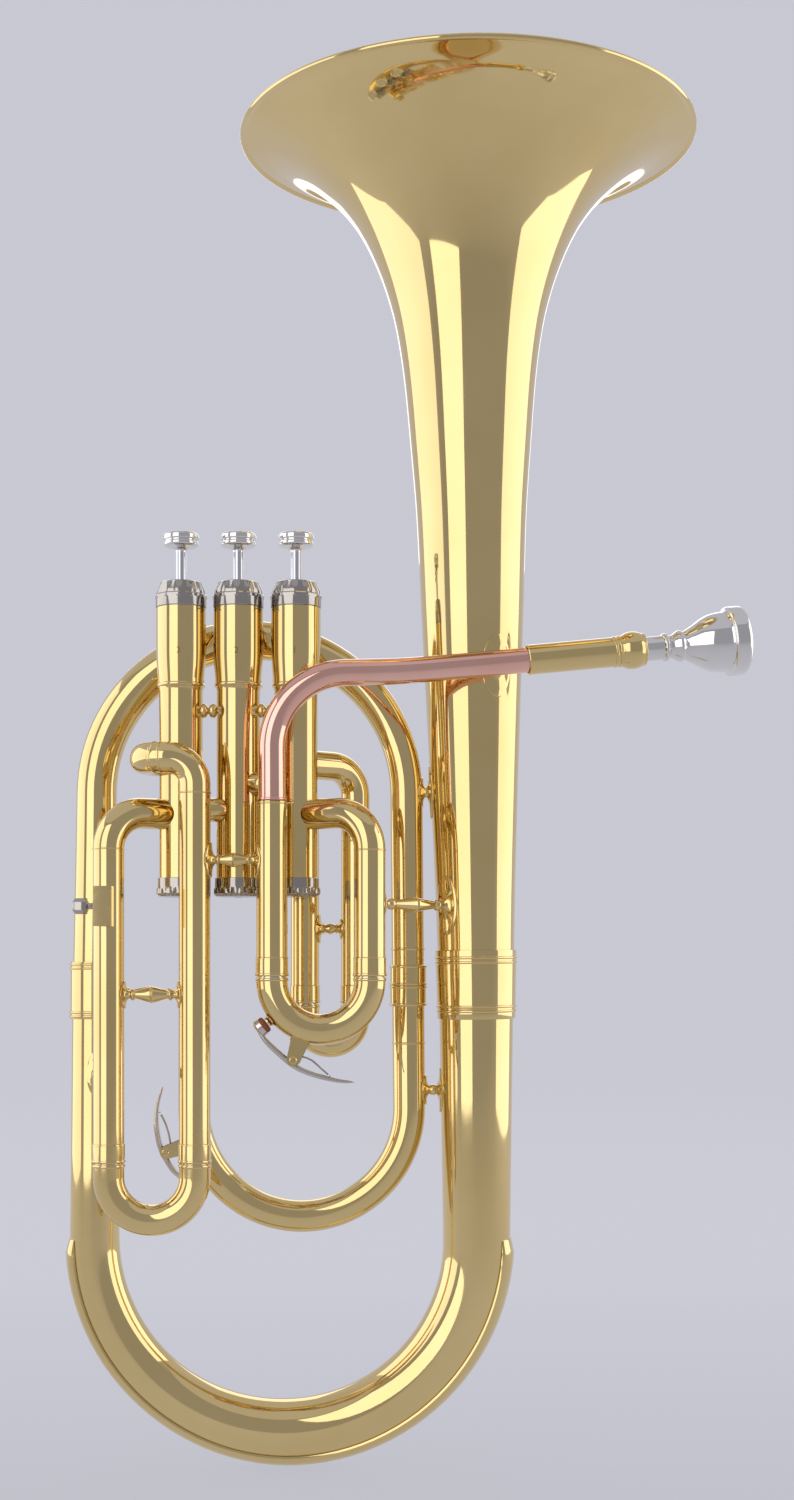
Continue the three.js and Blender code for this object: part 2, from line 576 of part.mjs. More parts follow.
// ---------------------------------------------------------------- leadpipe, receiver and mouthpiece
const pipePoint = (s) => PIPE_AIM.clone().multiplyScalar(s).add(PIPE_END);
const leadPath = bentPath(
  [vec(MAIN.left, FRONT_Y, leadStart + GAP), vec(-4.6, FRONT_Y, 411.6), pipePoint(-64), pipePoint(12)],
  [38, 150],
  19,
);
const leadRadius = along([[0, 7], [95, 6.7], [200, 6.3]]);
part("leadpipe", tube(leadPath, leadRadius, (s) => leadRadius(s) - TUBE_WALL, 12), copper);

const alongPipe = (solid) => aimed(solid, PIPE_END, pipePoint(1));
part("receiver", alongPipe(turned(
  [
    [7.2, 0], [7.6, 0.4], [7.6, 47.4], [8.4, 48], [8.6, 49], [8.1, 50.2], [9, 52], [9.6, 55.4], [9.3, 58.6], [8.2, 60.8],
    [8, 62], [6.7, 62], [6.7, 0],
  ],
  14,
)), brass);
part("mouthpiece", alongPipe(turned(
  [
    [4.9, 38], [6.2, 63], [6.2, 71.5], [7.3, 72.4], [7.3, 73.6], [5.7, 74.8], [6.4, 78], [8.1, 80.4], [7.3, 82.6],
    [8.2, 85], [12.4, 92], [15.2, 99], [15.6, 104.6], [16.6, 105.8], [17.9, 106.6], [17.9, 113.4], [16.6, 115],
    [14.4, 115.2], [12.9, 113], [12, 106], [9.8, 98], [5.4, 90], [3.3, 84], [3.3, 76], [3.9, 38],
  ],
  14,
)), silver);

// ---------------------------------------------------------------- ferrules of the branches
part("branch_ferrule", ferruleSolid(12, 11.8, -17.5, 12.6, 0.7, 12).translate([-100.9, 0, JOINT_Z]), brass);
part("loop_ferrule", ferruleSolid(8.6, 8.6, -11, 11, 0.6, 12).translate([64.6, 0, JOINT_Z]), brass);

// ---------------------------------------------------------------- braces
// A post between two tube axes: a flange against each tube, with a spindle or beads in between.
function brace(from, to, near, far, flange, middle, cutters) {
  const length = from.distanceTo(to);
  const [start, end] = [near - 0.6, length - far + 0.6];
  const profile = [
    [0, start - 1.2], [flange, start - 1.2], [flange, start + 1.4], [1.9, start + 1.7],
    ...middle(start + 1.7, end - 1.7), [1.9, end - 1.7], [flange, end - 1.4], [flange, end + 1.2], [0, end + 1.2],
  ];
  return cut(aimed(turned(profile, 8), from, to), ...cutters);
}
const spindle = (fat) => (a, b) => [
  [1.7, a + (b - a) * 0.1], [2.6, a + (b - a) * 0.16], [1.7, a + (b - a) * 0.22], [fat, (a + b) / 2],
  [1.7, a + (b - a) * 0.78], [2.6, a + (b - a) * 0.84], [1.7, a + (b - a) * 0.9],
];
const ball = (fat) => (a, b) => [
  [1.6, a + (b - a) * 0.08], [fat, a + (b - a) * 0.38], [fat, a + (b - a) * 0.62], [1.6, b - (b - a) * 0.08],
];
const upright = (x, y, z, radius) => bar(vec(x, y, z - 14), vec(x, y, z + 14), (radius + GAP) * 1.02, 20);
const bellX = (z) => BELL.x + BELL.lean * (z - JOINT_Z);
const bellCutter = (z, radius) => bar(vec(bellX(z), 0, z - 20), vec(bellX(z), 0, z + 20), radius + GAP + 0.2, 24);

function crossBrace(name, from, to, near, far, flange, middle) {
  const cutters = [upright(from.x, from.y, from.z, near), upright(to.x, to.y, to.z, far)];
  part(name, brace(from, to, near, far, flange, middle, cutters), brass);
}
crossBrace("brace_third_slide", vec(THIRD.left, FRONT_Y, 250), vec(THIRD.right, FRONT_Y, 250), 7.9, 7.9, 4.6, spindle(3.5));
crossBrace("brace_third_main", vec(THIRD.right, FRONT_Y, 318), vec(MAIN.left, FRONT_Y, 318), 7.9, 7.9, 4.2, spindle(3.3));
crossBrace("brace_first_slide", vec(FIRST.left, FIRST_Y, 284), vec(FIRST.right, FIRST_Y, 284), 7.5, 7.5, 4, ball(2.2));
crossBrace("brace_branch", vec(-100.9, 0, 250), vec(SMALL_ARC.left, 0, 250), 13, 8.3, 4.4, spindle(3.2));
crossBrace("brace_loop_upper", vec(63.2, 0, 356), vec(bellX(356), 0, 356), 8.7, 23.6, 4.6, ball(2.9));
crossBrace("brace_loop_lower", vec(65.2, 0, 199), vec(101, 0, 199), 8.6, 19.2, 4.6, ball(2.9));
crossBrace("brace_third_bow", vec(THIRD.left, FRONT_Y, 208), vec(-101, 0, 208), 7.9, 12.4, 6, spindle(3));

const bellBraceZ = 296;
const bellBrace = brace(vec(MAIN.right, FRONT_Y, bellBraceZ), vec(bellX(bellBraceZ), 0, bellBraceZ), MAIN.outer, 21, 7, spindle(4),
  [upright(MAIN.right, FRONT_Y, bellBraceZ, MAIN.outer), bellCutter(bellBraceZ, 21)]);
part("brace_main_bell", bellBrace, brass);

// The leadpipe's foot: an oval plate curved to the bell, and a short post to the pipe.
function leadFootSolid() {
  const pipe = pipePoint(-7);
  const axis = vec(bellX(pipe.z), 0, pipe.z);
  const offset = (by) => BELL_OUTLINE.slice(1, 5).map(([r, z]) => [r + by, z]);
  const skin = turned([...offset(GAP), ...offset(1.5).reverse()], 32);
  const shell = skin.rotate([0, THREE.MathUtils.radToDeg(BELL.lean), 0]).translate([BELL.x, 0, JOINT_Z]);
  const oval = turned([[0, 10], [9, 10], [9, 45], [0, 45]], 16).scale([1, 1.9, 1]);
  const post = turned([[0, 26], [4, 26], [3, 30], [3, 38], [4.4, 42], [0, 42]], 12);
  const look = pipe.clone().sub(axis).normalize();
  const across = vec(0, 0, 1).cross(look).normalize();
  const pose = new THREE.Matrix4().makeBasis(across, look.clone().cross(across), look).setPosition(axis);
  const oriented = (solid) => solid.transform(pose.elements);
  const pipeCutter = bar(pipePoint(-40), pipePoint(-0.6), 6.6 + GAP, 12);
  const bellCore = turned([...offset(GAP), [0, BELL_OUTLINE[4][1]], [0, BELL_OUTLINE[1][1]]], 32)
    .rotate([0, THREE.MathUtils.radToDeg(BELL.lean), 0]).translate([BELL.x, 0, JOINT_Z]);
  return cut(unite(shell.intersect(oriented(oval)), oriented(post)), bellCore, pipeCutter);
}
part("leadpipe_foot", leadFootSolid(), brass);

// ---------------------------------------------------------------- lyre holder
const LYRE = { x: -87.6, y: -60.6, z: 294.3, width: 9, depth: 10.4, height: 20 };
function lyreSolid() {
  const box = new THREE.BoxGeometry(LYRE.width, LYRE.depth + 6, LYRE.height).translate(LYRE.x, LYRE.y + 3, LYRE.z);
  const socket = new THREE.BoxGeometry(4.6, 4.6, LYRE.height + 2).translate(LYRE.x, LYRE.y - 1, LYRE.z);
  const thread = bar(vec(LYRE.x, LYRE.y - 1, LYRE.z), vec(LYRE.x - 8, LYRE.y - 1, LYRE.z), 1.75, 8);
  return cut(solidFrom(box), solidFrom(socket), thread, upright(THIRD.left, FRONT_Y, LYRE.z, THIRD.outer));
}
function lyreScrewSolid() {
  const profile = [[0, 3.2], [1.6, 3.2], [1.6, 7.3], [2.4, 7.3], [3.8, 8.2], [3.8, 14], [2.8, 15.2], [0, 15.2]];
  return aimed(turned(profile, 12), vec(LYRE.x, LYRE.y - 1, LYRE.z), vec(LYRE.x - 1, LYRE.y - 1, LYRE.z));
}
part("lyre_holder", lyreSolid(), brass);
part("lyre_screw", lyreScrewSolid(), nickel);

export default horn;
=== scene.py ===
"""Looks of the baritone horn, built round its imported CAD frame.

Shapes are written in millimetres in the frame of the CAD: +X from the valves to the bell, +Y
away from the viewer, +Z up, with the origin at the lowest point of the bottom bow's guard.
"""

import math

import bmesh
import bpy
from mathutils import Matrix, Quaternion, Vector


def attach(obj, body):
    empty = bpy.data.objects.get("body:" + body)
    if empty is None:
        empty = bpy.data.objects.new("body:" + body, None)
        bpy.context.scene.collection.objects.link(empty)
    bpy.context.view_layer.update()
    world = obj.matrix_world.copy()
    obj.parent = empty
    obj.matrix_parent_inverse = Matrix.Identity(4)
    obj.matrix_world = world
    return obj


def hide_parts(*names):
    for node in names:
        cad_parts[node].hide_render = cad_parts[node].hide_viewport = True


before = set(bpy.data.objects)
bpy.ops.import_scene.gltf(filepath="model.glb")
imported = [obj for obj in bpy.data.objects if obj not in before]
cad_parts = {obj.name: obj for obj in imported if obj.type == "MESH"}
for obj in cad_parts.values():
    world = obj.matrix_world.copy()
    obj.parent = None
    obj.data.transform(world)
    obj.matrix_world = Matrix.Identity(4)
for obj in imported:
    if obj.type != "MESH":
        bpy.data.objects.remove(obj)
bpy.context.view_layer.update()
MM = 0.001

# ---- driving dimensions, in mm
GAP = 0.3  # kept open between a node and where it is joined
JOINT_Z = 254.0  # the joints of the bell, the large branch and the loop are level
LEFT_JOINT_X = -100.9
LOOP_JOINT_X = 64.6
BOW = {"x": 101.0, "z": 120.5, "radius": 101.0}
BELL = {"x": 100.5, "lean": -0.0101}  # the lean is in radians
LARGE_ARC = {"left": -99.3, "right": 62.9, "z": 355.2, "radius": 81.1}
SMALL_ARC = {"left": -48.6, "right": 65.6, "z": 189.3, "radius": 57.1}
LOOP_TOP = 331.0
TUBE_WALL = 0.8
BELL_WALL = 0.7

VALVE_X = (6.6, -23.1, -52.6)
VALVE_Y = -26.0
CASING = 11.2
SEAT = 10.75  # tubes end in the middle of a casing's wall, this far from its axis

# A slide has its legs at left and right. Its fixed outer legs have this radius and a mouth at
# ring, its bow starts at bow, and its drawn inner legs are so long.
FRONT_Y = -48.0
FIRST_Y = -4.0
MAIN = {"left": -4.4, "right": 44.9, "outer": 7.9, "ring": 259.0, "bow": 257.0, "leg": 58.0}
THIRD = {"left": -86.8, "right": -43.3, "outer": 7.9, "ring": 165.0, "bow": 158.0, "leg": 112.0}
FIRST = {"left": 10.3, "right": 36.8, "outer": 7.5, "ring": 244.5, "bow": 237.0, "leg": 66.0}
SECOND = {"low": 342.0, "high": 370.0, "outer": 7.5, "ring": 14.0, "bow": 18.0, "leg": 22.0}
SLIDE_WALL = 0.65
SLIDE_FIT = 0.14
LEAD_START = 347.4

PIPE_AIM = Vector((109, 17, 12.4)).normalized()
PIPE_END = Vector((125, -37, 420.5))

UP = Vector((0, 0, 1))
BACK = Vector((0, 1, 0))

# ---- how finely shapes are drawn
SHORTEST_RUN = 0.5  # a shorter straight run, in mm, is left out of a route
RUN_STEP = 12  # mm between the rings of a straight run
BEND_STEP = 3.5  # degrees between the rings of a bend
STRAP_END = 0.06  # the part of a strap's length that rounds off at each end


def at(x, y, z):
    """A point in millimetres."""
    return Vector((x, y, z))


def around(count):
    """The angles that split a full turn into equal parts."""
    return [2 * math.pi * j / count for j in range(count)]


# ---- curves
def eased(marks):
    """A smooth function through (distance, value) marks that never overshoots them."""
    xs, ys = zip(*marks)
    slopes = [(ys[i + 1] - ys[i]) / (xs[i + 1] - xs[i]) for i in range(len(xs) - 1)]
    ends = [slopes[0]]
    for before, after in zip(slopes, slopes[1:]):
        ends.append(0.0 if before * after <= 0 else 2 * before * after / (before + after))
    ends.append(slopes[-1])

    def value(x):
        if x <= xs[0]:
            return ys[0]
        if x >= xs[-1]:
            return ys[-1]
        i = max(k for k in range(len(xs) - 1) if xs[k] <= x)
        width = xs[i + 1] - xs[i]
        t = (x - xs[i]) / width
        rise = ys[i + 1] - ys[i]
        a = ends[i] * width - rise
        b = -ends[i + 1] * width + rise
        return ys[i] + t * rise + t * (1 - t) * ((1 - t) * a + t * b)

    return value


def rounded(points, per=5):
    """A Catmull-Rom curve through the points, as a list of tuples."""
    points = [Vector(p) for p in points]
    full = [2 * points[0] - points[1], *points, 2 * points[-1] - points[-2]]
    curve = []
    for p0, p1, p2, p3 in zip(full, full[1:], full[2:], full[3:]):
        for k in range(per):
            t = k / per
            curve.append(
                0.5 * (2 * p1 + (p2 - p0) * t + (2 * p0 - 5 * p1 + 4 * p2 - p3) * t**2
                       + (3 * p1 - p0 - 3 * p2 + p3) * t**3)
            )
    return [tuple(p) for p in curve] + [tuple(points[-1])]


def bead(radius, z, half, height, steps=6):
    """Profile points of a half-round bead that goes up past z."""
    turns = [math.pi * k / steps for k in range(steps + 1)]
    return [(radius + height * math.sin(a), z - half * math.cos(a)) for a in turns]


class Route:
    """Straight runs joined by bends, measured by the distance along them."""

    def __init__(self, corners, radii):
        self.spans = []
        self.length = 0.0
        here = corners[0]
        for corner, after, radius in zip(corners[1:-1], corners[2:], radii):
            back = (here - corner).normalized()
            ahead = (after - corner).normalized()
            inside = back.angle(ahead)
            reach = radius / math.tan(inside / 2)
            centre = corner + (back + ahead).normalized() * (radius / math.sin(inside / 2))
            start = corner + back * reach
            self._run(here, start)
            self._bend(start - centre, centre, ahead.cross(back).normalized(), math.pi - inside)
            here = corner + ahead * reach
        self._run(here, corners[-1])

    def _run(self, start, end):
        length = (end - start).length
        if length < SHORTEST_RUN:
            return
        aim = (end - start) / length
        self._add(length, max(1, round(length / RUN_STEP)), lambda d: (start + aim * d, aim))

    def _bend(self, arm, centre, axis, angle):
        radius = arm.length

        def place(d):
            turned_arm = Quaternion(axis, d / radius) @ arm
            return centre + turned_arm, axis.cross(turned_arm).normalized()

        self._add(radius * angle, max(3, round(math.degrees(angle) / BEND_STEP)), place)

    def _add(self, length, count, place):
        self.spans.append((self.length, length, count, place))
        self.length += length

    def at(self, s):
        """The point and the direction at a distance along the route."""
        for start, length, _, place in self.spans:
            if s <= start + length:
                return place(max(0.0, s - start))
        _, length, _, place = self.spans[-1]
        return place(length)

    def marks(self):
        """The distances of the rings that draw each run and bend."""
        found = []
        for start, length, count, _ in self.spans:
            found += [start + length * k / count for k in range(count)]
        return found + [self.length]


# ---- meshes
class Shape:
    """Points and faces of one piece, in millimetres. A face's kind is its material's number."""

    def __init__(self):
        self.points = []
        self.faces = []
        self.kinds = []

    def face(self, corners, kind=0):
        self.faces.append(corners)
        self.kinds.append(kind)

    def loft(self, rings, loop=False, kinds=None):
        """Skins rings of equal length. A loop closes on itself, and any other loft is capped."""
        base = len(self.points)
        count = len(rings[0])
        kinds = kinds or [0] * len(rings)
        for ring in rings:
            self.points.extend(ring)
        pairs = [(i, i + 1) for i in range(len(rings) - 1)]
        if loop:
            pairs.append((len(rings) - 1, 0))
        for a, b in pairs:
            for j in range(count):
                k = (j + 1) % count
                corners = (a * count + j, a * count + k, b * count + k, b * count + j)
                self.face([base + c for c in corners], kinds[a])
        if not loop:
            last = base + (len(rings) - 1) * count
            self.face([base + j for j in reversed(range(count))], kinds[0])
            self.face([last + j for j in range(count)], kinds[-1])
        return self

    def turned(self, profile, pose=Matrix.Identity(4), sides=48, loop=False, flutes=None):
        """A [radius, z] profile turned about the pose's Z axis."""
        rings = []
        for radius, z in profile:
            ring = []
            for angle in around(sides):
                r = radius if flutes is None else flutes(radius, z, angle)
                ring.append(pose @ Vector((r * math.cos(angle), r * math.sin(angle), z)))
            rings.append(ring)
        return self.loft(rings, loop)

    def tube(self, route, radius, wall=None, sides=40, beads=(), seats=(None, None), kind=None):
        """A tube, or a bar where it has no wall, along a route. Beads are (place, half width,
        height). A seat is the (x, y, radius) of an upright cylinder that this end is cut to."""
        size = radius if callable(radius) else (lambda s: radius)
        marks = set(route.marks())
        for place, half, _ in beads:
            marks.update(place + half * t for t in (-1, -0.86, -0.5, 0, 0.5, 0.86, 1))
        stations = sorted(s for s in marks if -1e-6 <= s <= route.length + 1e-6)

        def swollen(s):
            total = size(s)
            for place, half, height in beads:
                t = (s - place) / half
                total += height * math.sqrt(max(0.0, 1 - t * t)) if abs(t) < 1.001 else 0.0
            return total

        outer = []
        bore = []
        normal = None
        for i, s in enumerate(stations):
            point, tangent = route.at(s)
            if normal is None:
                normal = BACK.copy() if abs(tangent.y) < 0.9 else Vector((1, 0, 0))
            normal = (normal - tangent * normal.dot(tangent)).normalized()
            across = tangent.cross(normal)
            seat = seats[0] if i == 0 else seats[1] if i == len(stations) - 1 else None
            arms = [normal * math.cos(a) + across * math.sin(a) for a in around(sides)]
            outer.append([seated(point + arm * swollen(s), tangent, seat) for arm in arms])
            if wall:
                inside = size(s) - wall
                bore.append([seated(point + arm * inside, tangent, seat) for arm in arms])
        if not wall:
            return self.loft(outer)
        kinds = [kind(s) if kind else 0 for s in stations]
        return self.loft(outer + bore[::-1], loop=True, kinds=kinds + kinds[::-1])

    def swept(self, curve, half_wide, half_thick, y=0.0, sides=20):
        """A strap that follows (x, z) points, with its width along Y and both ends rounded off."""
        rings = []
        count = len(curve) - 1
        for i, (x, z) in enumerate(curve):
            before, after = curve[max(0, i - 1)], curve[min(count, i + 1)]
            tangent = Vector((after[0] - before[0], 0, after[1] - before[1])).normalized()
            normal = tangent.cross(BACK)
            t = i / count
            close = math.sqrt(min(1.0, t / STRAP_END) * min(1.0, (1 - t) / STRAP_END))
            wide, thick = half_wide(t) * close, half_thick(t) * (0.3 + 0.7 * close)
            ring = []
            for a in around(sides):
                u = math.copysign(abs(math.cos(a)) ** 0.6, math.cos(a)) * wide
                v = math.copysign(abs(math.sin(a)) ** 0.8, math.sin(a)) * thick
                ring.append(at(x, y, z) + BACK * u + normal * v)
            rings.append(ring)
        return self.loft(rings)

    def slab(self, outline, y, width):
        """An upright plate with a flat (x, z) outline, width thick along Y."""
        rings = [[Vector((x, y + side * width / 2, z)) for x, z in outline] for side in (-1, 1)]
        return self.loft(rings)


def seated(point, aim, seat):
    """The point, slid along its own tube until it is on an upright cylinder."""
    if seat is None:
        return point
    x, y, radius = seat
    dx, dy = point.x - x, point.y - y
    a = aim.x**2 + aim.y**2
    b = 2 * (dx * aim.x + dy * aim.y)
    c = dx**2 + dy**2 - radius**2
    root = math.sqrt(max(0.0, b * b - 4 * a * c))
    slides = [(-b - root) / (2 * a), (-b + root) / (2 * a)]
    return point + aim * min(slides, key=abs)


def aimed(start, end):
    """The pose that puts a shape's origin at start and its Z axis towards end."""
    turn = UP.rotation_difference((end - start).normalized())
    return Matrix.Translation(start) @ turn.to_matrix().to_4x4()


def make(name, shape, materials, body="horn", sharp=34, node=True):
    """One finished piece that rides on a body. It stands for the CAD node of its name, which it
    gets with _form, unless there is no such node. Edges bent by more than the sharp angle, in
    degrees, are drawn hard."""
    piece_name = name + "_form" if node else name
    mesh = bpy.data.meshes.new(piece_name)
    mesh.from_pydata([p * MM for p in shape.points], [], shape.faces)
    mesh.polygons.foreach_set("material_index", shape.kinds)
    model = bmesh.new()
    model.from_mesh(mesh)
    bmesh.ops.remove_doubles(model, verts=model.verts, dist=1e-6)
    bmesh.ops.recalc_face_normals(model, faces=model.faces)
    model.to_mesh(mesh)
    model.free()
    mesh.shade_smooth()
    mesh.set_sharp_from_angle(angle=math.radians(sharp))
    for material in materials if isinstance(materials, tuple) else (materials,):
        mesh.materials.append(material)
    piece = bpy.data.objects.new(piece_name, mesh)
    bpy.context.scene.collection.objects.link(piece)
    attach(piece, body)
    if node:
        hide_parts(name)


# ---- materials
class Nodes:
    """A material's node tree, with short calls for the nodes that the finishes share."""

    def __init__(self, name):
        self.material = bpy.data.materials.new(name)
        self.material.use_nodes = True
        self.tree = self.material.node_tree
        self.shader = self.tree.nodes["Principled BSDF"]
        self.place = self.tree.nodes.new("ShaderNodeTexCoord").outputs["Object"]

    def noise(self, scale, detail=4.0, rough=0.55, stretch=(1, 1, 1)):
        mapping = self.tree.nodes.new("ShaderNodeMapping")
        mapping.inputs["Scale"].default_value = stretch
        self.tree.links.new(self.place, mapping.inputs["Vector"])
        noise = self.tree.nodes.new("ShaderNodeTexNoise")
        noise.inputs["Scale"].default_value = scale
        noise.inputs["Detail"].default_value = detail
        noise.inputs["Roughness"].default_value = rough
        self.tree.links.new(mapping.outputs["Vector"], noise.inputs["Vector"])
        return noise.outputs["Fac"]

    def remap(self, value, low, high, to_low, to_high):
        node = self.tree.nodes.new("ShaderNodeMapRange")
        limits = {"From Min": low, "From Max": high, "To Min": to_low, "To Max": to_high}
        for name, number in limits.items():
            node.inputs[name].default_value = number
        self.tree.links.new(value, node.inputs["Value"])
        return node.outputs["Result"]

    def blend(self, value, first, second):
        node = self.tree.nodes.new("ShaderNodeMix")
        node.data_type = "RGBA"
        node.inputs["A"].default_value = (*first, 1)
        node.inputs["B"].default_value = (*second, 1)
        self.tree.links.new(value, node.inputs["Factor"])
        return node.outputs["Result"]

    def greatest(self, first, second):
        node = self.tree.nodes.new("ShaderNodeMath")
        node.operation = "MAXIMUM"
        self.tree.links.new(first, node.inputs[0])
        self.tree.links.new(second, node.inputs[1])
        return node.outputs["Value"]

    def bump(self, height, strength, distance):
        node = self.tree.nodes.new("ShaderNodeBump")
        node.inputs["Strength"].default_value = strength
        node.inputs["Distance"].default_value = distance
        self.tree.links.new(height, node.inputs["Height"])
        self.tree.links.new(node.outputs["Normal"], self.shader.inputs["Normal"])

    def feed(self, socket, output):
        self.tree.links.new(output, self.shader.inputs[socket])


def polished(name, colour, shade, polish, smudge, coat=0.0):
    """Polished metal with faint clouds of colour, hand marks and hairline scratches. Polish and
    smudge are the roughness of clean and of handled metal."""
    nodes = Nodes(name)
    nodes.shader.inputs["Metallic"].default_value = 1.0
    nodes.shader.inputs["Coat Weight"].default_value = coat
    nodes.shader.inputs["Coat Roughness"].default_value = 0.04
    clouds = nodes.remap(nodes.noise(16, 3), 0.35, 0.7, 0, 1)
    nodes.feed("Base Color", nodes.blend(clouds, colour, shade))
    marks = nodes.remap(nodes.noise(38, 5, 0.6), 0.5, 0.78, polish, smudge)
    scratches = nodes.noise(260, 2, 0.5, stretch=(1, 1, 0.05))
    hairs = nodes.remap(scratches, 0.62, 0.8, polish, (polish + smudge) / 2)
    nodes.feed("Roughness", nodes.greatest(marks, hairs))
    nodes.bump(nodes.noise(20, 2), 0.06, 0.0006)
    return nodes.material


def corky():
    """Cork with a dark, open grain."""
    nodes = Nodes("cork")
    grain = nodes.noise(900, 5, 0.7)
    tone = nodes.remap(grain, 0.35, 0.65, 0, 1)
    nodes.feed("Base Color", nodes.blend(tone, (0.20, 0.045, 0.02), (0.42, 0.13, 0.06)))
    nodes.feed("Roughness", nodes.remap(grain, 0.3, 0.7, 0.7, 0.95))
    nodes.bump(grain, 0.6, 0.0003)
    return nodes.material


LACQUER = 0.3  # coat weight of the clear lacquer
BRASS = polished("lacquered_brass", (0.81, 0.625, 0.285), (0.77, 0.575, 0.24), 0.045, 0.11, LACQUER)
COPPER = polished("rose_brass", (0.93, 0.57, 0.46), (0.89, 0.49, 0.38), 0.06, 0.14, LACQUER)
NICKEL = polished("nickel_plate", (0.50, 0.465, 0.42), (0.42, 0.385, 0.345), 0.09, 0.2)
CHROME = polished("chrome_stem", (0.72, 0.73, 0.76), (0.66, 0.67, 0.70), 0.05, 0.12)
SILVER = polished("silver_plate", (0.86, 0.85, 0.83), (0.78, 0.76, 0.72), 0.05, 0.14)
NICKEL_SILVER = polished("inner_leg", (0.70, 0.66, 0.56), (0.62, 0.58, 0.48), 0.12, 0.26)
STEEL = polished("spring_wire", (0.55, 0.55, 0.56), (0.45, 0.45, 0.46), 0.16, 0.3)
INK = polished("stamped_digit", (0.30, 0.19, 0.06), (0.24, 0.15, 0.05), 0.35, 0.5)
KEY_SILVER = polished("key_plate", (0.74, 0.70, 0.65), (0.62, 0.57, 0.52), 0.08, 0.2)
CORK = corky()


# ---- bell, bow and branches
BELL_RADIUS = eased([
    (0.2, 19.9), (45, 21), (98, 22.9), (151, 25.1), (196, 27), (246, 28.9), (287, 31.9),
    (321, 34.9), (348, 38.9), (367, 43.8), (385, 50.5), (400, 58), (414, 68), (426, 80),
    (436, 93), (443, 106), (446.4, 116.6),
])
BELL_POSE = Matrix.Translation((BELL["x"], 0, JOINT_Z)) @ Matrix.Rotation(BELL["lean"], 4, "Y")
BELL_FOOT, BELL_FLARE, BELL_TOP = 0.2, 400.0, 446.4  # heights above the joint
RIM_CENTRE, RIM_WIRE = (118.5, 447.2), 1.45


def bell_x(z):
    """Where the bell's axis is at this height."""
    return BELL["x"] + BELL["lean"] * (z - JOINT_Z)


def bell_form():
    """The bell, with rings that crowd towards the rim, and the rim rolled over a wire."""
    heights = [BELL_FOOT + (BELL_FLARE - BELL_FOOT) * k / 60 for k in range(60)]
    flare = BELL_TOP - BELL_FLARE
    heights += [BELL_FLARE + flare * math.sin(math.pi / 2 * k / 40) for k in range(41)]
    outside = [(BELL_RADIUS(z), z) for z in heights]
    inside = []
    for i, (r, z) in enumerate(outside):
        before, after = outside[max(0, i - 1)], outside[min(len(outside) - 1, i + 1)]
        run = Vector((after[0] - before[0], after[1] - before[1])).normalized()
        inside.append((r - run.y * BELL_WALL, z + run.x * BELL_WALL))
    inside[0] = (inside[0][0], outside[0][1])
    turns = [math.radians(-110 + 250 * k / 14) for k in range(15)]
    roll = [(RIM_CENTRE[0] + RIM_WIRE * math.cos(a), RIM_CENTRE[1] + RIM_WIRE * math.sin(a))
            for a in turns]
    form = Shape().turned(outside + roll + inside[::-1], BELL_POSE, 128, loop=True)
    make("bell", form, BRASS)


def ferrule(name, pose, low, high, radii, pair, sides=72):
    """A sleeve over a joint. Each end has a pair of fine beads, so far in from its edge."""
    thick = 0.9
    radius = eased([(low, radii[0] + thick), (high, radii[1] + thick)])
    outside = [(radius(low) - 0.4, low), (radius(low) - 0.1, low + 0.15), (radius(low), low + 0.5)]
    places = [low + offset for offset in pair] + [high - offset for offset in reversed(pair)]
    for z in places:
        outside += bead(radius(z), z, 0.75, 0.55)
    top = radius(high)
    outside += [(top, high - 0.5), (top - 0.1, high - 0.15), (top - 0.4, high)]
    profile = outside + [(radii[1] + GAP, high), (radii[0] + GAP, low)]
    make(name, Shape().turned(profile, pose, sides, loop=True), BRASS)


BOW_BOTTOM = BOW["z"] - BOW["radius"]
BOW_ROUTE = Route(
    [at(LEFT_JOINT_X, 0, JOINT_Z - GAP), at(-BOW["x"], 0, BOW_BOTTOM),
     at(BOW["x"], 0, BOW_BOTTOM), at(BELL["x"], 0, JOINT_Z - GAP)],
    [BOW["radius"], BOW["radius"]],
)
BOW_RADIUS = eased([
    (0, 11.8), (133, 13), (212, 14), (292, 16.2), (371, 17), (450, 17.8), (584, 19.8),
])
BRANCH_TOP = LARGE_ARC["z"] + LARGE_ARC["radius"]
BRANCH_ROUTE = Route(
    [at(LEFT_JOINT_X + 0.05, 0, JOINT_Z + GAP), at(LARGE_ARC["left"], 0, BRANCH_TOP),
     at(LARGE_ARC["right"], 0, BRANCH_TOP), at(LOOP_JOINT_X, 0, JOINT_Z + GAP)],
    [LARGE_ARC["radius"], LARGE_ARC["radius"]],
)
BRANCH_RADIUS = eased([(0, 11.7), (101, 10.6), (229, 10.2), (356, 8.6), (460, 8.6)])
LOOP_BOTTOM = SMALL_ARC["z"] - SMALL_ARC["radius"]
LOOP_ROUTE = Route(
    [at(LOOP_JOINT_X, 0, JOINT_Z - GAP), at(SMALL_ARC["right"], 0, LOOP_BOTTOM),
     at(SMALL_ARC["left"], 0, LOOP_BOTTOM), at(SMALL_ARC["left"], 0, LOOP_TOP),
     at(VALVE_X[2], VALVE_Y, LOOP_TOP)],
    [SMALL_ARC["radius"], SMALL_ARC["radius"], 12],
)
LOOP_RADIUS = eased([(0, 8.6), (250, 8.3), (440, 7.9)])

GUARD_HALF = math.radians(44)  # half of what the strip covers of the bow's section
GUARD_EDGE, GUARD_THICK = 0.45, 2.0  # its thickness at its two ends, and what it gains inside


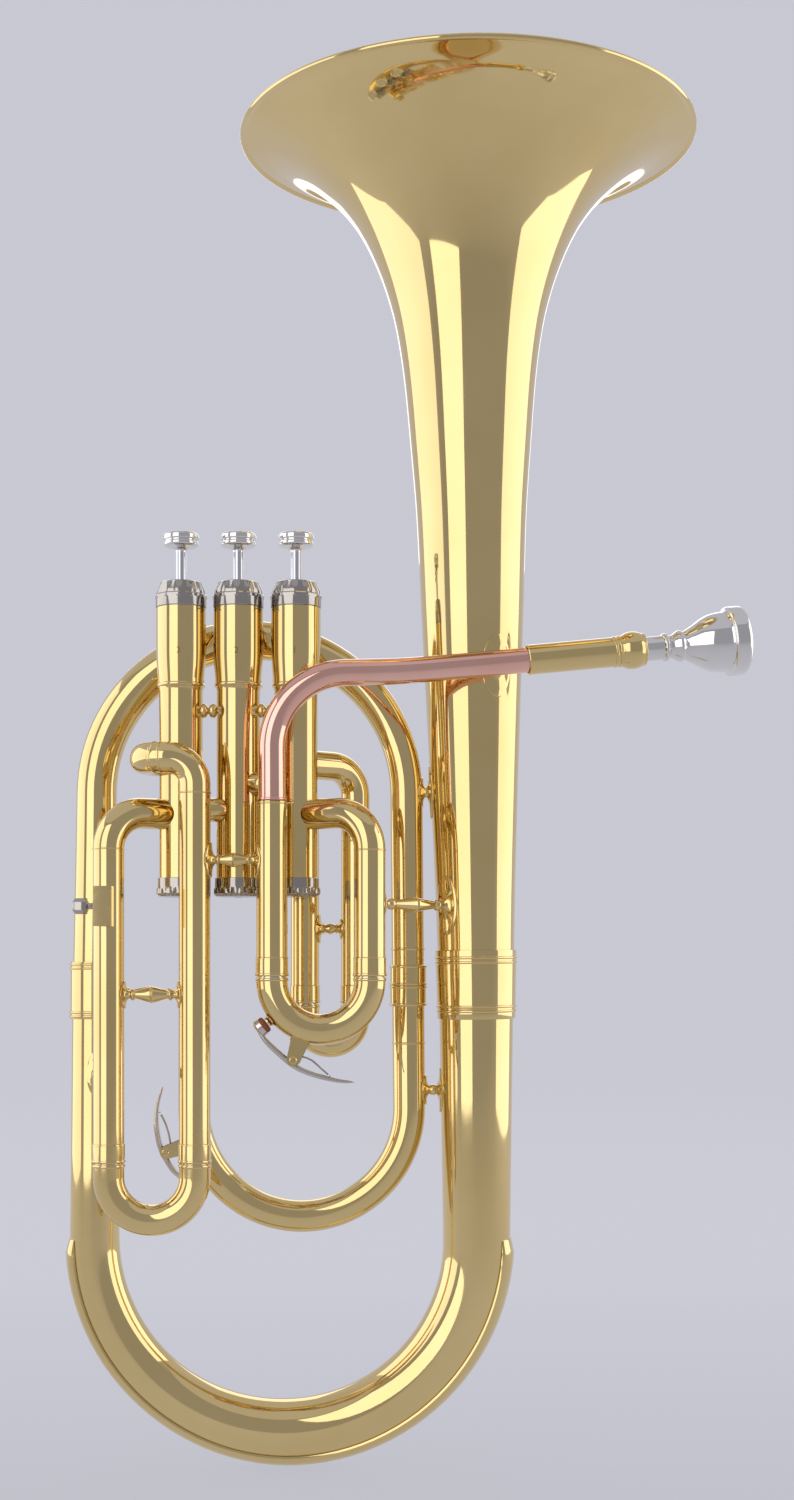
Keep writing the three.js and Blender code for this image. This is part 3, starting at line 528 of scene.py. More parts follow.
def guard_form():
    """The strip soldered round the outside of the bottom bow, thickest along its middle."""
    rings = []
    marks = [s for s in BOW_ROUTE.marks() if BOW_ROUTE.at(s)[0].z <= BOW["z"] + 1]
    for s in marks:
        point, tangent = BOW_ROUTE.at(s)
        out = (point - at(0, 0, BOW["z"])).normalized()
        out = (out - tangent * out.dot(tangent)).normalized()
        if abs(point.x) < BOW["x"] - BOW["radius"] + 0.01:
            out = -UP
        edge = min(1.0, (s - marks[0]) / 5, (marks[-1] - s) / 5)
        proud = GUARD_EDGE + GUARD_THICK * math.sqrt(max(0.0, edge))
        section = [(t, GAP + (proud - GAP) * (1 - abs(t) ** 6) ** 0.5) for t in
                   (-1, -0.97, -0.9, -0.75, -0.5, -0.25, 0, 0.25, 0.5, 0.75, 0.9, 0.97, 1)]
        section += [(t, 0.1) for t in (1, 0.5, 0, -0.5, -1)]
        ring = []
        for t, lift in section:
            reach, turn = BOW_RADIUS(s) + lift, t * GUARD_HALF
            ring.append(point + out * math.cos(turn) * reach + BACK * math.sin(turn) * reach)
        rings.append(ring)
    make("bow_guard", Shape().loft(rings), BRASS)


def branches():
    """The bottom bow, the large branch and the ferrules over their joints."""
    bow = Shape().tube(BOW_ROUTE, BOW_RADIUS, TUBE_WALL, 72)
    make("bottom_bow", bow, BRASS)
    branch = Shape().tube(BRANCH_ROUTE, BRANCH_RADIUS, TUBE_WALL, 56,
                          beads=[(BRANCH_ROUTE.length - 19, 0.7, 0.45)])
    make("large_branch", branch, BRASS)
    ferrule("bell_ferrule", BELL_POSE, -17.5, 18.8, (19.8, 20.6), (4.2, 6.6), 96)
    left, loop = (Matrix.Translation((x, 0, JOINT_Z)) for x in (LEFT_JOINT_X, LOOP_JOINT_X))
    ferrule("branch_ferrule", left, -17.5, 12.6, (12, 11.8), (1.4, 3.4))
    ferrule("loop_ferrule", loop, -11, 11, (8.6, 8.6), (1, 10.2))


# ---- valves
def casing_profile():
    outside = [(CASING, 303), (CASING, 405.6), (11.45, 406.8)]
    outside += bead(11.7, 408.8, 1.1, 0.75)
    outside += rounded([(11.8, 410.2), (12.05, 414), (12.6, 421), (12.8, 428), (12.8, 448.5)])
    return outside + [(11.9, 448.5), (11.9, 409), (10.2, 408), (10.2, 303)]


def top_cap_profile():
    return [
        (12.85, 448.7), (13.05, 449), (13.05, 453.2), (13.35, 453.7), (13.35, 454.9),
        (12.9, 455.5), (12.6, 457.2), (11.2, 460.8), (10.7, 461.5), (10, 461.9), (3.4, 461.9),
        (3.1, 461.6), (3.1, 460.6), (9.6, 460.4), (10.9, 456.6), (10.9, 444.6), (11.6, 444.6),
        (11.6, 448.7),
    ]


def bottom_cap_profile():
    return [
        (2, 299.8), (9.5, 299.8), (11.2, 300.2), (12.1, 301), (12.6, 301.7), (12.6, 304),
        (12.1, 304.7), (12.0, 305.2), (12.0, 309.5), (11.7, 309.7), (11.35, 309.7),
        (11.35, 301.4), (2, 301.2),
    ]


def fluted(low, high, count, depth):
    """Shallow scallops round a cap's outside between two heights."""
    def radius(r, z, angle):
        if r <= 9.5 or not low < z < high:
            return r
        return r - depth * (0.5 - 0.5 * math.cos(count * angle))
    return radius


STEM_TOP = 477.5


def button_profile():
    """The stem and, on top of it, the finger button with its dished top."""
    stem = [(0, 440.5), (2.3, 440.5), (2.3, 441), (2.8, 441.4), (2.8, 477.2)]
    flare = rounded([(2.8, 477.4), (3.1, 478.6), (4.4, 479.6), (6.4, 480)])
    under = rounded([(7.6, 480.2), (8.6, 480.8), (8.95, 481.7), (8.85, 482.5), (8.5, 483.0)])
    upper = rounded([(8.5, 483.5), (8.95, 483.9), (9.2, 485.0), (9.1, 486.2), (8.3, 487.1),
                     (7.2, 487.4)])
    dish = rounded([(6.9, 487.0), (5, 486.75), (2.5, 486.65), (0, 486.6)])
    return stem + flare + under + upper + dish


def digit(number, x):
    """A small stamped numeral, bent round the front of its casing."""
    casing, height, thick = 12.8, 424, 0.16
    text = bpy.data.curves.new(f"digit_{number}", "FONT")
    text.body = str(number)
    text.size = 4.6
    text.align_x = "CENTER"
    source = bpy.data.objects.new(f"digit_source_{number}", text)
    bpy.context.scene.collection.objects.link(source)
    bpy.context.view_layer.update()
    flat = bpy.data.meshes.new_from_object(source)
    model = bmesh.new()
    model.from_mesh(flat)
    bpy.data.objects.remove(source)
    bmesh.ops.solidify(model, geom=model.faces[:], thickness=thick)
    shape = Shape()
    for vertex in model.verts:
        bend = vertex.co.x / casing
        lift = casing + (0.06 if abs(vertex.co.z) > 0.05 else -0.06)
        shape.points.append(at(x + math.sin(bend) * lift, VALVE_Y - math.cos(bend) * lift,
                               height + vertex.co.y))
    for face in model.faces:
        shape.face([v.index for v in face.verts])
    model.free()
    make(f"valve_digit_{number}", shape, INK, node=False)


def valves():
    """The three casings with their caps, finger buttons and digits."""
    for number, x in enumerate(VALVE_X, 1):
        pose = Matrix.Translation((x, VALVE_Y, 0))
        casing = Shape().turned(casing_profile(), pose, 72, loop=True)
        bar = [(x - 11.9, 409.2), (x + 11.9, 409.2), (x + 11.9, 411.4), (x - 11.9, 411.4)]
        casing.slab(bar, VALVE_Y, 4)
        if number == 2:
            for neighbour in (VALVE_X[0], VALVE_X[2]):
                casing_brace(casing, x, neighbour)
        make(f"valve_casing_{number}", casing, BRASS)
        top = Shape().turned(top_cap_profile(), pose, 144, True, fluted(453.4, 461, 12, 0.45))
        make(f"top_cap_{number}", top, NICKEL, sharp=24)
        low = Shape().turned(bottom_cap_profile(), pose, 160, True, fluted(300.5, 304.4, 40, 0.3))
        make(f"bottom_cap_{number}", low, NICKEL, sharp=24)
        button = Shape().turned(button_profile(), pose, 64)
        button.kinds = [int(max(button.points[c].z for c in face) <= STEM_TOP)
                        for face in button.faces]
        make(f"finger_button_{number}", button, (SILVER, CHROME), f"valve_{number}")
        digit(number, x)


def casing_brace(shape, from_x, to_x):
    """Two balls on a short bar between the fronts of neighbouring casings."""
    forward, height, ball_half = 7.0, 395, 2.3
    edge = math.sqrt(CASING**2 - forward**2)
    middle = abs(to_x - from_x) / 2
    far = 2 * middle - edge
    profile = [(0, edge - 0.8), (2.6, edge - 0.8), (2.6, edge + 0.6), (1.2, edge + 0.9)]
    for centre in (middle - ball_half, middle + ball_half):
        profile += [(max(1.6, 3.7 * math.sin(a)), centre - ball_half * math.cos(a)) for a in
                    [math.pi * k / 10 for k in range(1, 10)]]
    profile += [(1.2, far - 0.9), (2.6, far - 0.6), (2.6, far - 0.15), (0, far - 0.15)]
    start, end = (at(x, VALVE_Y - forward, height) for x in (from_x, to_x))
    shape.turned(profile, aimed(start, end), 32)


def knuckles():
    """The short crooks between neighbouring casings, which bulge towards the viewer."""
    for name, left, right, z in (("knuckle_2_3", 2, 1, 344.3), ("knuckle_1_2", 1, 0, 357.7)):
        axes = [at(VALVE_X[i], VALVE_Y, z) for i in (left, right)]
        corner = (axes[0] + axes[1]) / 2 - BACK * 8
        start, end = (axis + (corner - axis).normalized() * (CASING + 0.2) for axis in axes)
        seats = [(VALVE_X[i], VALVE_Y, CASING + 0.12) for i in (left, right)]
        form = Shape().tube(Route([start, corner, end], [6]), 6.2, 0.6, 40, seats=seats)
        make(name, form, BRASS)


# ---- slides
def stop_at(corner, valve):
    """Where a tube that runs level from the corner meets the middle of a casing's wall."""
    axis = at(VALVE_X[valve], VALVE_Y, corner.z)
    return axis + (corner - axis).normalized() * SEAT


def leg(name, corners, radii, outer, valve, joints=()):
    """A fixed outer leg, with a sleeve at its mouth and fine beads where its crook is joined.
    It ends at its last corner, or runs on from there to a valve's casing."""
    seat = None
    if valve is not None:
        corners = [*corners, stop_at(corners[-1], valve)]
        seat = (VALVE_X[valve], VALVE_Y, SEAT)
    sleeve = eased([(0, 0.35), (8.6, 0.35), (9.2, 0.0)])
    beads = [(0.75, 0.75, 0.4), (9.2, 0.5, 0.4)] + [(s, 0.45, 0.35) for s in joints]
    form = Shape().tube(Route(corners, radii), lambda s: outer + sleeve(s), SLIDE_WALL, 48,
                        beads=beads, seats=(None, seat))
    make(name, form, BRASS)


def slide_shape(spec, y):
    """A moving slide: drawn inner legs, a short shoulder and a bow as wide as the outer legs."""
    half = (spec["right"] - spec["left"]) / 2
    top, low = spec["ring"] + spec["leg"], spec["bow"] - half
    route = Route([at(spec["left"], y, top), at(spec["left"], y, low),
                   at(spec["right"], y, low), at(spec["right"], y, top)], [half, half])
    inner = spec["outer"] - SLIDE_WALL - SLIDE_FIT
    shoulder = spec["leg"] + 0.15

    def inside(s):
        return min(s, route.length - s)

    def radius(s):
        return inner if inside(s) < shoulder else spec["outer"] + 0.05

    def kind(s):
        return 1 if inside(s) < shoulder - 0.05 else 0

    beads = [(place, 0.8, 0.5) for place in (shoulder + 1.2, route.length - shoulder - 1.2)]
    # These have no height. Their rings, close together, keep the shoulder's step square.
    beads += [(place, 0.15, 0.0) for place in (shoulder - 0.1, route.length - shoulder + 0.1)]
    return Shape().tube(route, radius, SLIDE_WALL, 48, beads=beads, kind=kind)


def slides():
    """The fixed outer legs, with the crooks that lead to the valves, and the moving slides."""
    crook = [at(-69.5, FRONT_Y, 369.9), at(-69.5, VALVE_Y, 369.9)]
    for name, spec, side, y, top, onward, radii, valve, joints in (
        ("main", MAIN, "left", FRONT_Y, LEAD_START, [], [], None, [LEAD_START - 1]),
        ("main", MAIN, "right", FRONT_Y, 342.2, [], [19], 0, [323]),
        ("third", THIRD, "left", FRONT_Y, 342.2, [], [18.7], 2, [323.5]),
        ("third", THIRD, "right", FRONT_Y, 369.9, crook, [14, 11, 10.9], 2, [351.8, 380.8, 383.8]),
        ("first", FIRST, "left", FIRST_Y, 341.5, [], [9], 0, [326]),
        ("first", FIRST, "right", FIRST_Y, 368.6, [], [15], 0, [330]),
    ):
        mouth = spec["ring"] + GAP
        corners = [at(spec[side], y, mouth), at(spec[side], y, top), *onward]
        leg(f"{name}_outer_{side}", corners, radii, spec["outer"], valve,
            [joint - mouth for joint in joints])
    for where, z in (("upper", SECOND["high"]), ("lower", SECOND["low"])):
        start = at(VALVE_X[1], SECOND["ring"] - GAP, z)
        form = Shape().tube(Route([start, stop_at(start, 1)], []), SECOND["outer"], SLIDE_WALL,
                            48, beads=[(0.9, 0.9, 0.55)],
                            seats=(None, (VALVE_X[1], VALVE_Y, SEAT)))
        make(f"second_outer_{where}", form, BRASS)

    main = slide_shape(MAIN, FRONT_Y)
    saddle(main, MAIN_KEY)
    for name, shape in (("main_slide", main), ("third_slide", slide_shape(THIRD, FRONT_Y)),
                        ("first_slide", slide_shape(FIRST, FIRST_Y)),
                        ("second_slide", second_slide())):
        make(name, shape, (BRASS, NICKEL_SILVER), name)


def second_slide():
    """The second slide lies flat behind its valve, with a pull knob on its bow."""
    low, high = SECOND["low"], SECOND["high"]
    spec = {"left": -high, "right": -low, "outer": SECOND["outer"], "ring": -SECOND["ring"],
            "bow": -SECOND["bow"], "leg": SECOND["leg"]}
    shape = slide_shape(spec, 0)
    shape.points = [at(VALVE_X[1] + p.y, -p.z, -p.x) for p in shape.points]
    end = SECOND["bow"] + (high - low) / 2 + SECOND["outer"] - 0.8
    knob = [(0, 0), (2.2, 0.2)]
    knob += rounded([(2, 2), (2.4, 3.6), (4.2, 4.6), (4.7, 6), (4.1, 7.4), (2, 8.4), (0, 8.5)])
    middle = at(VALVE_X[1], end, (low + high) / 2)
    return shape.turned(knob, aimed(middle, middle + BACK), 32)


# ---- water keys
# A key sits on a bow with this centre (x, z) and bend radius, made of a tube with this radius.
# Cork and pivot are angles round that centre, in degrees, and out is the pivot's distance from
# the tube's middle. Lever and wire are (x, z) points.
MAIN_KEY = {
    "name": "main", "body": "main_key", "centre": (20.25, 257), "bend": 24.65, "tube": 7.9,
    "y": FRONT_Y, "cork": 218, "pivot": 251, "out": 17.6,
    "lever": [(-11.4, 232.6), (-8.6, 228.2), (-4.2, 223.4), (5.2, 215.2), (12, 211.4),
              (21, 208.4), (30, 206.4), (37.5, 205.9)],
    "wire": [(6.2, 219.6), (14.5, 217.6), (20.6, 212.6), (24.8, 208.9)],
}
LOOP_KEY = {
    "name": "loop", "body": "loop_key", "centre": (8.5, 189.3), "bend": 57.1, "tube": 8.4,
    "y": 0.0, "cork": 211.5, "pivot": 198, "out": 18.3,
    "lever": [(-54, 150.8), (-57, 154), (-60.4, 157.6), (-65.6, 166.8), (-67.8, 175),
              (-68.6, 184), (-67.6, 192), (-65, 200.4)],
    "wire": [(-60.6, 166), (-61.6, 174), (-63.6, 181), (-66.6, 187)],
}
EAR_Y = 3.6  # the bracket's ears stand this far to each side of the key's plane
SADDLE_SPAN = 216  # half the length of the bracket's foot, times 180 / pi


def polar(key, degrees, out):
    """A point at an angle round a bow's centre, so far out from the middle of its tube."""
    angle = math.radians(degrees)
    reach = key["bend"] + out
    x, z = key["centre"]
    return at(x + reach * math.cos(angle), key["y"], z + reach * math.sin(angle))


def saddle(shape, key):
    """The two-eared bracket, its pin, and the nipple that the cork closes."""
    pivot = polar(key, key["pivot"], key["out"])
    spread = SADDLE_SPAN / key["bend"]
    feet = [polar(key, key["pivot"] + side * spread, key["tube"] - 1.2) for side in (-1, 1)]
    out = (pivot - polar(key, key["pivot"], 0)).normalized()
    along = Vector((-out.z, 0, out.x))
    head = [pivot + out * 3.0 * math.sin(a) + along * 3.4 * math.cos(a) for a in
            [math.pi * k / 8 for k in range(9)]]
    if (feet[1] - feet[0]).dot(along) < 0:
        feet.reverse()
    outline = [(p.x, p.z) for p in [feet[0], feet[1], *head]]
    for side in (-EAR_Y, EAR_Y):
        shape.slab(outline, key["y"] + side, 1.0)
    base = [polar(key, key["pivot"] + t * spread, key["tube"] + 0.1) for t in
            (-1, -0.5, 0, 0.5, 1)]
    skin = [p + out * 0.9 for p in base]
    shape.slab([(p.x, p.z) for p in base + skin[::-1]], key["y"], 6.6)
    pin = [(0, 0), (1.5, 0), (1.9, 0.3), (1.9, 0.8), (1.1, 0.9), (1.1, 8.3), (1.9, 8.4),
           (1.9, 8.9), (1.5, 9.2), (0, 9.2)]
    shape.turned(pin, aimed(pivot - BACK * 4.6, pivot + BACK * 4.6), 24)
    foot = polar(key, key["cork"], key["tube"] - 1.5)
    nipple = [(0, 0), (4.2, 0.4), (3.2, 1.7), (2.6, 2.4), (2.6, 3.1), (0, 3.1)]
    shape.turned(nipple, aimed(foot, polar(key, key["cork"], key["tube"] + 2)), 28)


def water_key(key):
    """A water key's lever with its barrel and cork cup, its cork, and its wire spring."""
    name, y = key["name"] + "_key", key["y"]
    pivot = polar(key, key["pivot"], key["out"])
    bow = polar(key, key["cork"], 0)
    half_wide = eased([(0, 2.4), (0.25, 2.7), (0.6, 2.7), (0.9, 2.0), (1, 1.4)])
    half_thick = eased([(0, 1.0), (0.38, 1.5), (0.65, 1.35), (1, 0.6)])
    lever = Shape().swept(rounded(key["lever"], 6), half_wide, half_thick, y)
    barrel = [(1.3, 0), (2.2, 0), (2.4, 0.3), (2.4, 5.3), (2.2, 5.6), (1.3, 5.6)]
    lever.turned(barrel, aimed(pivot - BACK * 2.8, pivot), 28, loop=True)
    cup = [(0, 0), (3.0, 0), (4.1, 0.5), (4.6, 1.2), (4.6, 3.5), (4.4, 3.7), (4.25, 3.5),
           (4.25, 2.4), (0, 2.4)]
    lever.turned(cup, aimed(polar(key, key["cork"], key["tube"] + 8.3), bow), 36)
    make(name + "_lever", lever, KEY_SILVER, key["body"])

    pad = [(0, 0), (4.15, 0), (4.2, 1.6), (4.15, 2.9), (3.8, 3.4), (3.2, 3.55), (0, 3.55)]
    cork = Shape().turned(pad, aimed(polar(key, key["cork"], key["tube"] + 5.8), bow), 36)
    make(name + "_cork", cork, CORK, key["body"])

    arm, wire_radius = 1.3, 0.38
    wire = Shape()
    for side in (-arm, arm):
        curve = [at(x, y + side, z) for x, z in rounded(key["wire"])][::2]
        wire.tube(Route(curve, [4.0] * (len(curve) - 2)), wire_radius, sides=10)
    x, z = key["wire"][-1]
    wire.tube(Route([at(x, y - arm, z), at(x, y + arm, z)], []), wire_radius, sides=10)
    make(name + "_spring", wire, STEEL, key["body"])


def loop_form():
    """The small branch, from the loop ferrule to the back of valve 3."""
    shape = Shape().tube(LOOP_ROUTE, LOOP_RADIUS, TUBE_WALL, 56, beads=[(30, 0.6, 0.4)],
                         seats=(None, (VALVE_X[2], VALVE_Y, SEAT)))
    saddle(shape, LOOP_KEY)
    make("small_branch", shape, BRASS)


# ---- leadpipe, receiver and mouthpiece
def pipe_point(s):
    """A point on the leadpipe's straight end, so far past where the receiver starts."""
    return PIPE_AIM * s + PIPE_END


def mouthpipe():
    """The leadpipe, and the receiver and mouthpiece in line with its end."""
    route = Route(
        [at(MAIN["left"], FRONT_Y, LEAD_START + GAP), at(-4.6, FRONT_Y, 411.6),
         pipe_point(-64), pipe_point(12)],
        [38, 150],
    )
    radius = eased([(0, 7), (95, 6.7), (200, 6.3)])
    pipe = Shape().tube(route, radius, TUBE_WALL, 56, beads=[(0.8, 0.8, 0.5)])
    make("leadpipe", pipe, COPPER)

    pose = aimed(PIPE_END, pipe_point(1))
    receiver = [(6.7, 0), (7.2, 0), (7.55, 0.35), (7.6, 1), (7.6, 44.6)]
    receiver += bead(7.65, 46, 0.7, 0.4) + bead(7.65, 48.4, 0.7, 0.5)
    receiver += rounded([(7.9, 49.6), (8.3, 50.6), (9.2, 52.6), (9.6, 55.4), (9.3, 58.2),
                         (8.4, 60.4)])
    receiver += rounded([(8.3, 60.8), (8.45, 61.3), (8.1, 61.9), (7.2, 62)])
    receiver += [(6.7, 62)]
    make("receiver", Shape().turned(receiver, pose, 64, loop=True), BRASS)

    outside = [(4.9, 38), (6.2, 63), (6.2, 71.2)]
    outside += rounded([(6.3, 71.6), (7.1, 72.2), (7.3, 73), (7.0, 73.9), (6, 74.6)])
    outside += rounded([(5.7, 75.2), (6.1, 77), (7.4, 79), (8.1, 80.6), (7.7, 82), (7.3, 82.8)])
    outside += rounded([(7.5, 83.4), (8.2, 85), (10.2, 88.6), (12.6, 92.4), (14.4, 96.4),
                        (15.3, 100.4), (15.6, 104)])
    outside += rounded([(15.7, 104.8), (16.4, 105.9), (17.3, 106.4), (17.85, 107.2), (17.9, 110),
                        (17.85, 112.6), (17.3, 114.2), (16.3, 115.1), (15.2, 115.2),
                        (14, 114.6), (13.1, 113)])
    inside = rounded([(12.9, 112), (12.5, 108), (11.6, 103), (9.8, 98), (7, 93.6), (4.6, 90),
                      (3.4, 86), (3.3, 80)])
    inside += [(3.5, 60), (3.9, 38)]
    mouthpiece = Shape().turned(outside + inside, pose, 96, loop=True)
    make("mouthpiece", mouthpiece, SILVER, "mouthpiece")


# ---- braces
FLANGE_THICK = 0.75
FLANGE_SUNK = 0.25  # a flange's underside is this deep in its tube
FLANGE_RISE = 1.9  # from a flange's plate to the top of its boss
BOW_END_RADIUS = 19.25


def oval(axis, up, outward, radius_at, wide, high, lift, count=40):
    """An ellipse wrapped round a tube, lifted off it."""
    side = up.cross(outward).normalized()
    ring = []
    for turn in around(count):
        v = high * math.sin(turn)
        radius = radius_at(v)
        bend = wide * math.cos(turn) / radius
        out = outward * math.cos(bend) + side * math.sin(bend)
        ring.append(axis + up * v + out * (radius + lift))
    return ring


def flange(shape, axis, outward, radius_at, half_wide, half_high, boss):
    """An oval plate bent round an upright tube, rising at its middle to a round boss."""
    def ring(wide, high, lift):
        return oval(axis, UP, outward, radius_at, wide, high, lift)

    under = [ring(half_wide * q, half_high * q, -FLANGE_SUNK) for q in (0.0, 0.35, 0.7)]
    plate = [(1.0, -FLANGE_SUNK), (1.0, 0.25), (0.985, 0.6), (0.94, FLANGE_THICK)]
    rise = [(0.7, 0.05), (0.45, 0.2), (0.25, 0.55), (0.12, 1.1), (0.0, FLANGE_RISE)]
    plate += [(q, FLANGE_THICK + lift) for q, lift in rise]
    over = [ring(boss + (half_wide - boss) * q, boss + (half_high - boss) * q, lift)
            for q, lift in plate]
    return shape.loft(under + over + [ring(0, 0, FLANGE_THICK + FLANGE_RISE)])


def spindle(fat):
    """A post that swells to a bead at its middle, with a small collar near each end."""
    neck, collar = 2.0, 2.9
    half = [(0, neck), (0.06, neck), (0.09, collar - 0.1), (0.13, collar), (0.165, neck),
            (0.21, neck + 0.15), (0.44, fat * 0.96), (0.485, fat)]
    marks = half + [(0.5, fat + 0.35)] + [(1 - t, r) for t, r in reversed(half)]
    return lambda length: [(r, t * length) for t, r in rounded(marks, 4)]


def ball(fat):
    """A short post with a ball at its middle."""
    post = 1.35

    def profile(length):
        middle = length / 2
        turns = [math.pi * k / 12 for k in range(13)]
        globe = [(max(post, fat * math.sin(a)), middle - fat * math.cos(a)) for a in turns]
        return [(post, min(0.0, middle - fat)), *globe, (post, max(length, middle + fat))]
    return profile


def brace(name, start, end, radii, flanges, post):
    """A post between two upright tubes, with an oval flange on each. Radii are numbers or
    functions of the height above the post, and flanges are (half width, half height)."""
    boss, plate = 1.8, 1.6
    aim = (end - start).normalized()
    near, far = (radius if callable(radius) else (lambda v, r=radius: r) for radius in radii)
    shape = flange(Shape(), start, aim, near, *flanges[0], boss)
    flange(shape, end, -aim, far, *flanges[1], boss)
    reach = near(0) + plate
    length = (end - start).length - reach - far(0) - plate
    shape.turned(post(max(length, 0.5)), aimed(start + aim * reach, end), 32)
    make(name, shape, BRASS)


def bell_radius_near(z):
    return lambda v: BELL_RADIUS(z + v - JOINT_Z)


def braces():
    """Every post between the tubes, each level and named after what it holds."""
    brace("brace_third_slide", at(THIRD["left"], FRONT_Y, 250), at(THIRD["right"], FRONT_Y, 250),
          (7.9, 7.9), ((5, 7), (5, 7)), spindle(4.1))
    brace("brace_third_main", at(THIRD["right"], FRONT_Y, 318), at(MAIN["left"], FRONT_Y, 318),
          (7.9, 7.9), ((6.6, 9), (6.6, 9)), spindle(3.5))
    brace("brace_first_slide", at(FIRST["left"], FIRST_Y, 284), at(FIRST["right"], FIRST_Y, 284),
          (7.5, 7.5), ((6, 7.8), (4.6, 5.6)), spindle(3.1))
    brace("brace_branch", at(LEFT_JOINT_X, 0, 250), at(SMALL_ARC["left"], 0, 250),
          (12.9, 8.2), ((5, 7), (5, 7)), spindle(3.8))
    brace("brace_loop_upper", at(63.2, 0, 356), at(bell_x(356), 0, 356),
          (8.65, bell_radius_near(356)), ((6, 8), (6, 14)), ball(2.9))
    brace("brace_loop_lower", at(65.2, 0, 199), at(BOW["x"], 0, 199),
          (8.5, BOW_END_RADIUS), ((6, 8), (6, 12)), ball(3))
    brace("brace_third_bow", at(THIRD["left"], FRONT_Y, 208), at(-BOW["x"], 0, 208),
          (7.9, 12.35), ((4.2, 6), (6, 12.6)), spindle(3))
    brace("brace_main_bell", at(MAIN["right"], FRONT_Y, 296), at(bell_x(296), 0, 296),
          (7.9, bell_radius_near(296)), ((5, 6.4), (7.4, 15.6)), spindle(3.7))


def leadpipe_foot():
    """An oval plate on the bell under the leadpipe, and the short post that carries the pipe."""
    pipe = pipe_point(-7)
    axis = at(bell_x(pipe.z), 0, pipe.z)
    look = (pipe - axis).normalized()
    shape = flange(Shape(), axis, look, bell_radius_near(pipe.z), 8.4, 16.4, 2.4)
    base = BELL_RADIUS(pipe.z - JOINT_Z) + 1.8
    reach = (pipe - axis).length - 6.1
    post = [(r, base + (reach - base) * t) for r, t in ((2.4, 0), (1.9, 0.35), (2.6, 0.75))]
    shape.turned(rounded([*post, (4.4, reach)]) + [(0, reach)], aimed(axis, pipe), 32)
    make("leadpipe_foot", shape, BRASS)


# ---- CAD nodes that keep their shape
def keep(name, material):
    """A CAD node that keeps its own mesh, with a finish."""
    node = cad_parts[name]
    node.data.materials.clear()
    node.data.materials.append(material)
    return node


def kept_nodes():
    """The pistons and springs, which are hidden in the casings, and the lyre holder."""
    for number in (1, 2, 3):
        keep(f"piston_{number}", NICKEL_SILVER)
        keep(f"valve_spring_{number}", STEEL)
    holder = keep("lyre_holder", BRASS)
    modifier = holder.modifiers.new("edges", "BEVEL")
    modifier.width = 0.35 * MM
    modifier.segments = 2
    modifier.limit_method = "ANGLE"
    modifier.angle_limit = math.radians(50)


def lyre_screw():
    """A clamp screw with a domed hexagon head."""
    start = at(-87.6, -61.6, 294.3)
    pose = aimed(start, start - Vector((1, 0, 0)))
    thread = [(0, 3.2), (1.55, 3.2), (1.6, 3.4), (1.6, 7.3), (2.4, 7.3), (3.2, 7.8), (0, 7.8)]
    shape = Shape().turned(thread, pose, 24)

    def hexagon(radius, z, angle):
        flat = math.cos(math.pi / 6) / math.cos(angle % (math.pi / 3) - math.pi / 6)
        return radius * flat**0.8

    head = [(0, 7.8), (3.9, 7.8), (4.0, 8.1), (4.0, 13.4), (3.6, 14.3), (2.6, 15), (0, 15.2)]
    shape.turned(head, pose, 48, flutes=hexagon)
    make("lyre_screw", shape, NICKEL, "lyre_screw")


# ---- studio, in metres from here on
CENTRE = Vector((0.0587, 0, 0.55))  # the panels stand round it
FLOOR_RADIUS, COVE_RADIUS, WALL_TOP = 2.4, 1.4, 4.2


def paper():
    """Pale seamless paper. It glows, more towards the back, so that it is even in the picture."""
    material = bpy.data.materials.new("studio_paper")
    material.use_nodes = True
    shader = material.node_tree.nodes["Principled BSDF"]
    shader.inputs["Base Color"].default_value = (0.06, 0.06, 0.065, 1)
    shader.inputs["Roughness"].default_value = 0.9
    shader.inputs["Specular IOR Level"].default_value = 0.1
    shader.inputs["Emission Color"].default_value = (0.617, 0.617, 0.69, 1)
    place = material.node_tree.nodes.new("ShaderNodeTexCoord")
    split = material.node_tree.nodes.new("ShaderNodeSeparateXYZ")
    glow = material.node_tree.nodes.new("ShaderNodeMapRange")
    for name, number in {"From Min": -2.0, "From Max": 0.6, "To Min": 0.52, "To Max": 0.88}.items():
        glow.inputs[name].default_value = number
    material.node_tree.links.new(place.outputs["Object"], split.inputs["Vector"])
    material.node_tree.links.new(split.outputs["Y"], glow.inputs["Value"])
    material.node_tree.links.new(glow.outputs["Result"], shader.inputs["Emission Strength"])
    return material


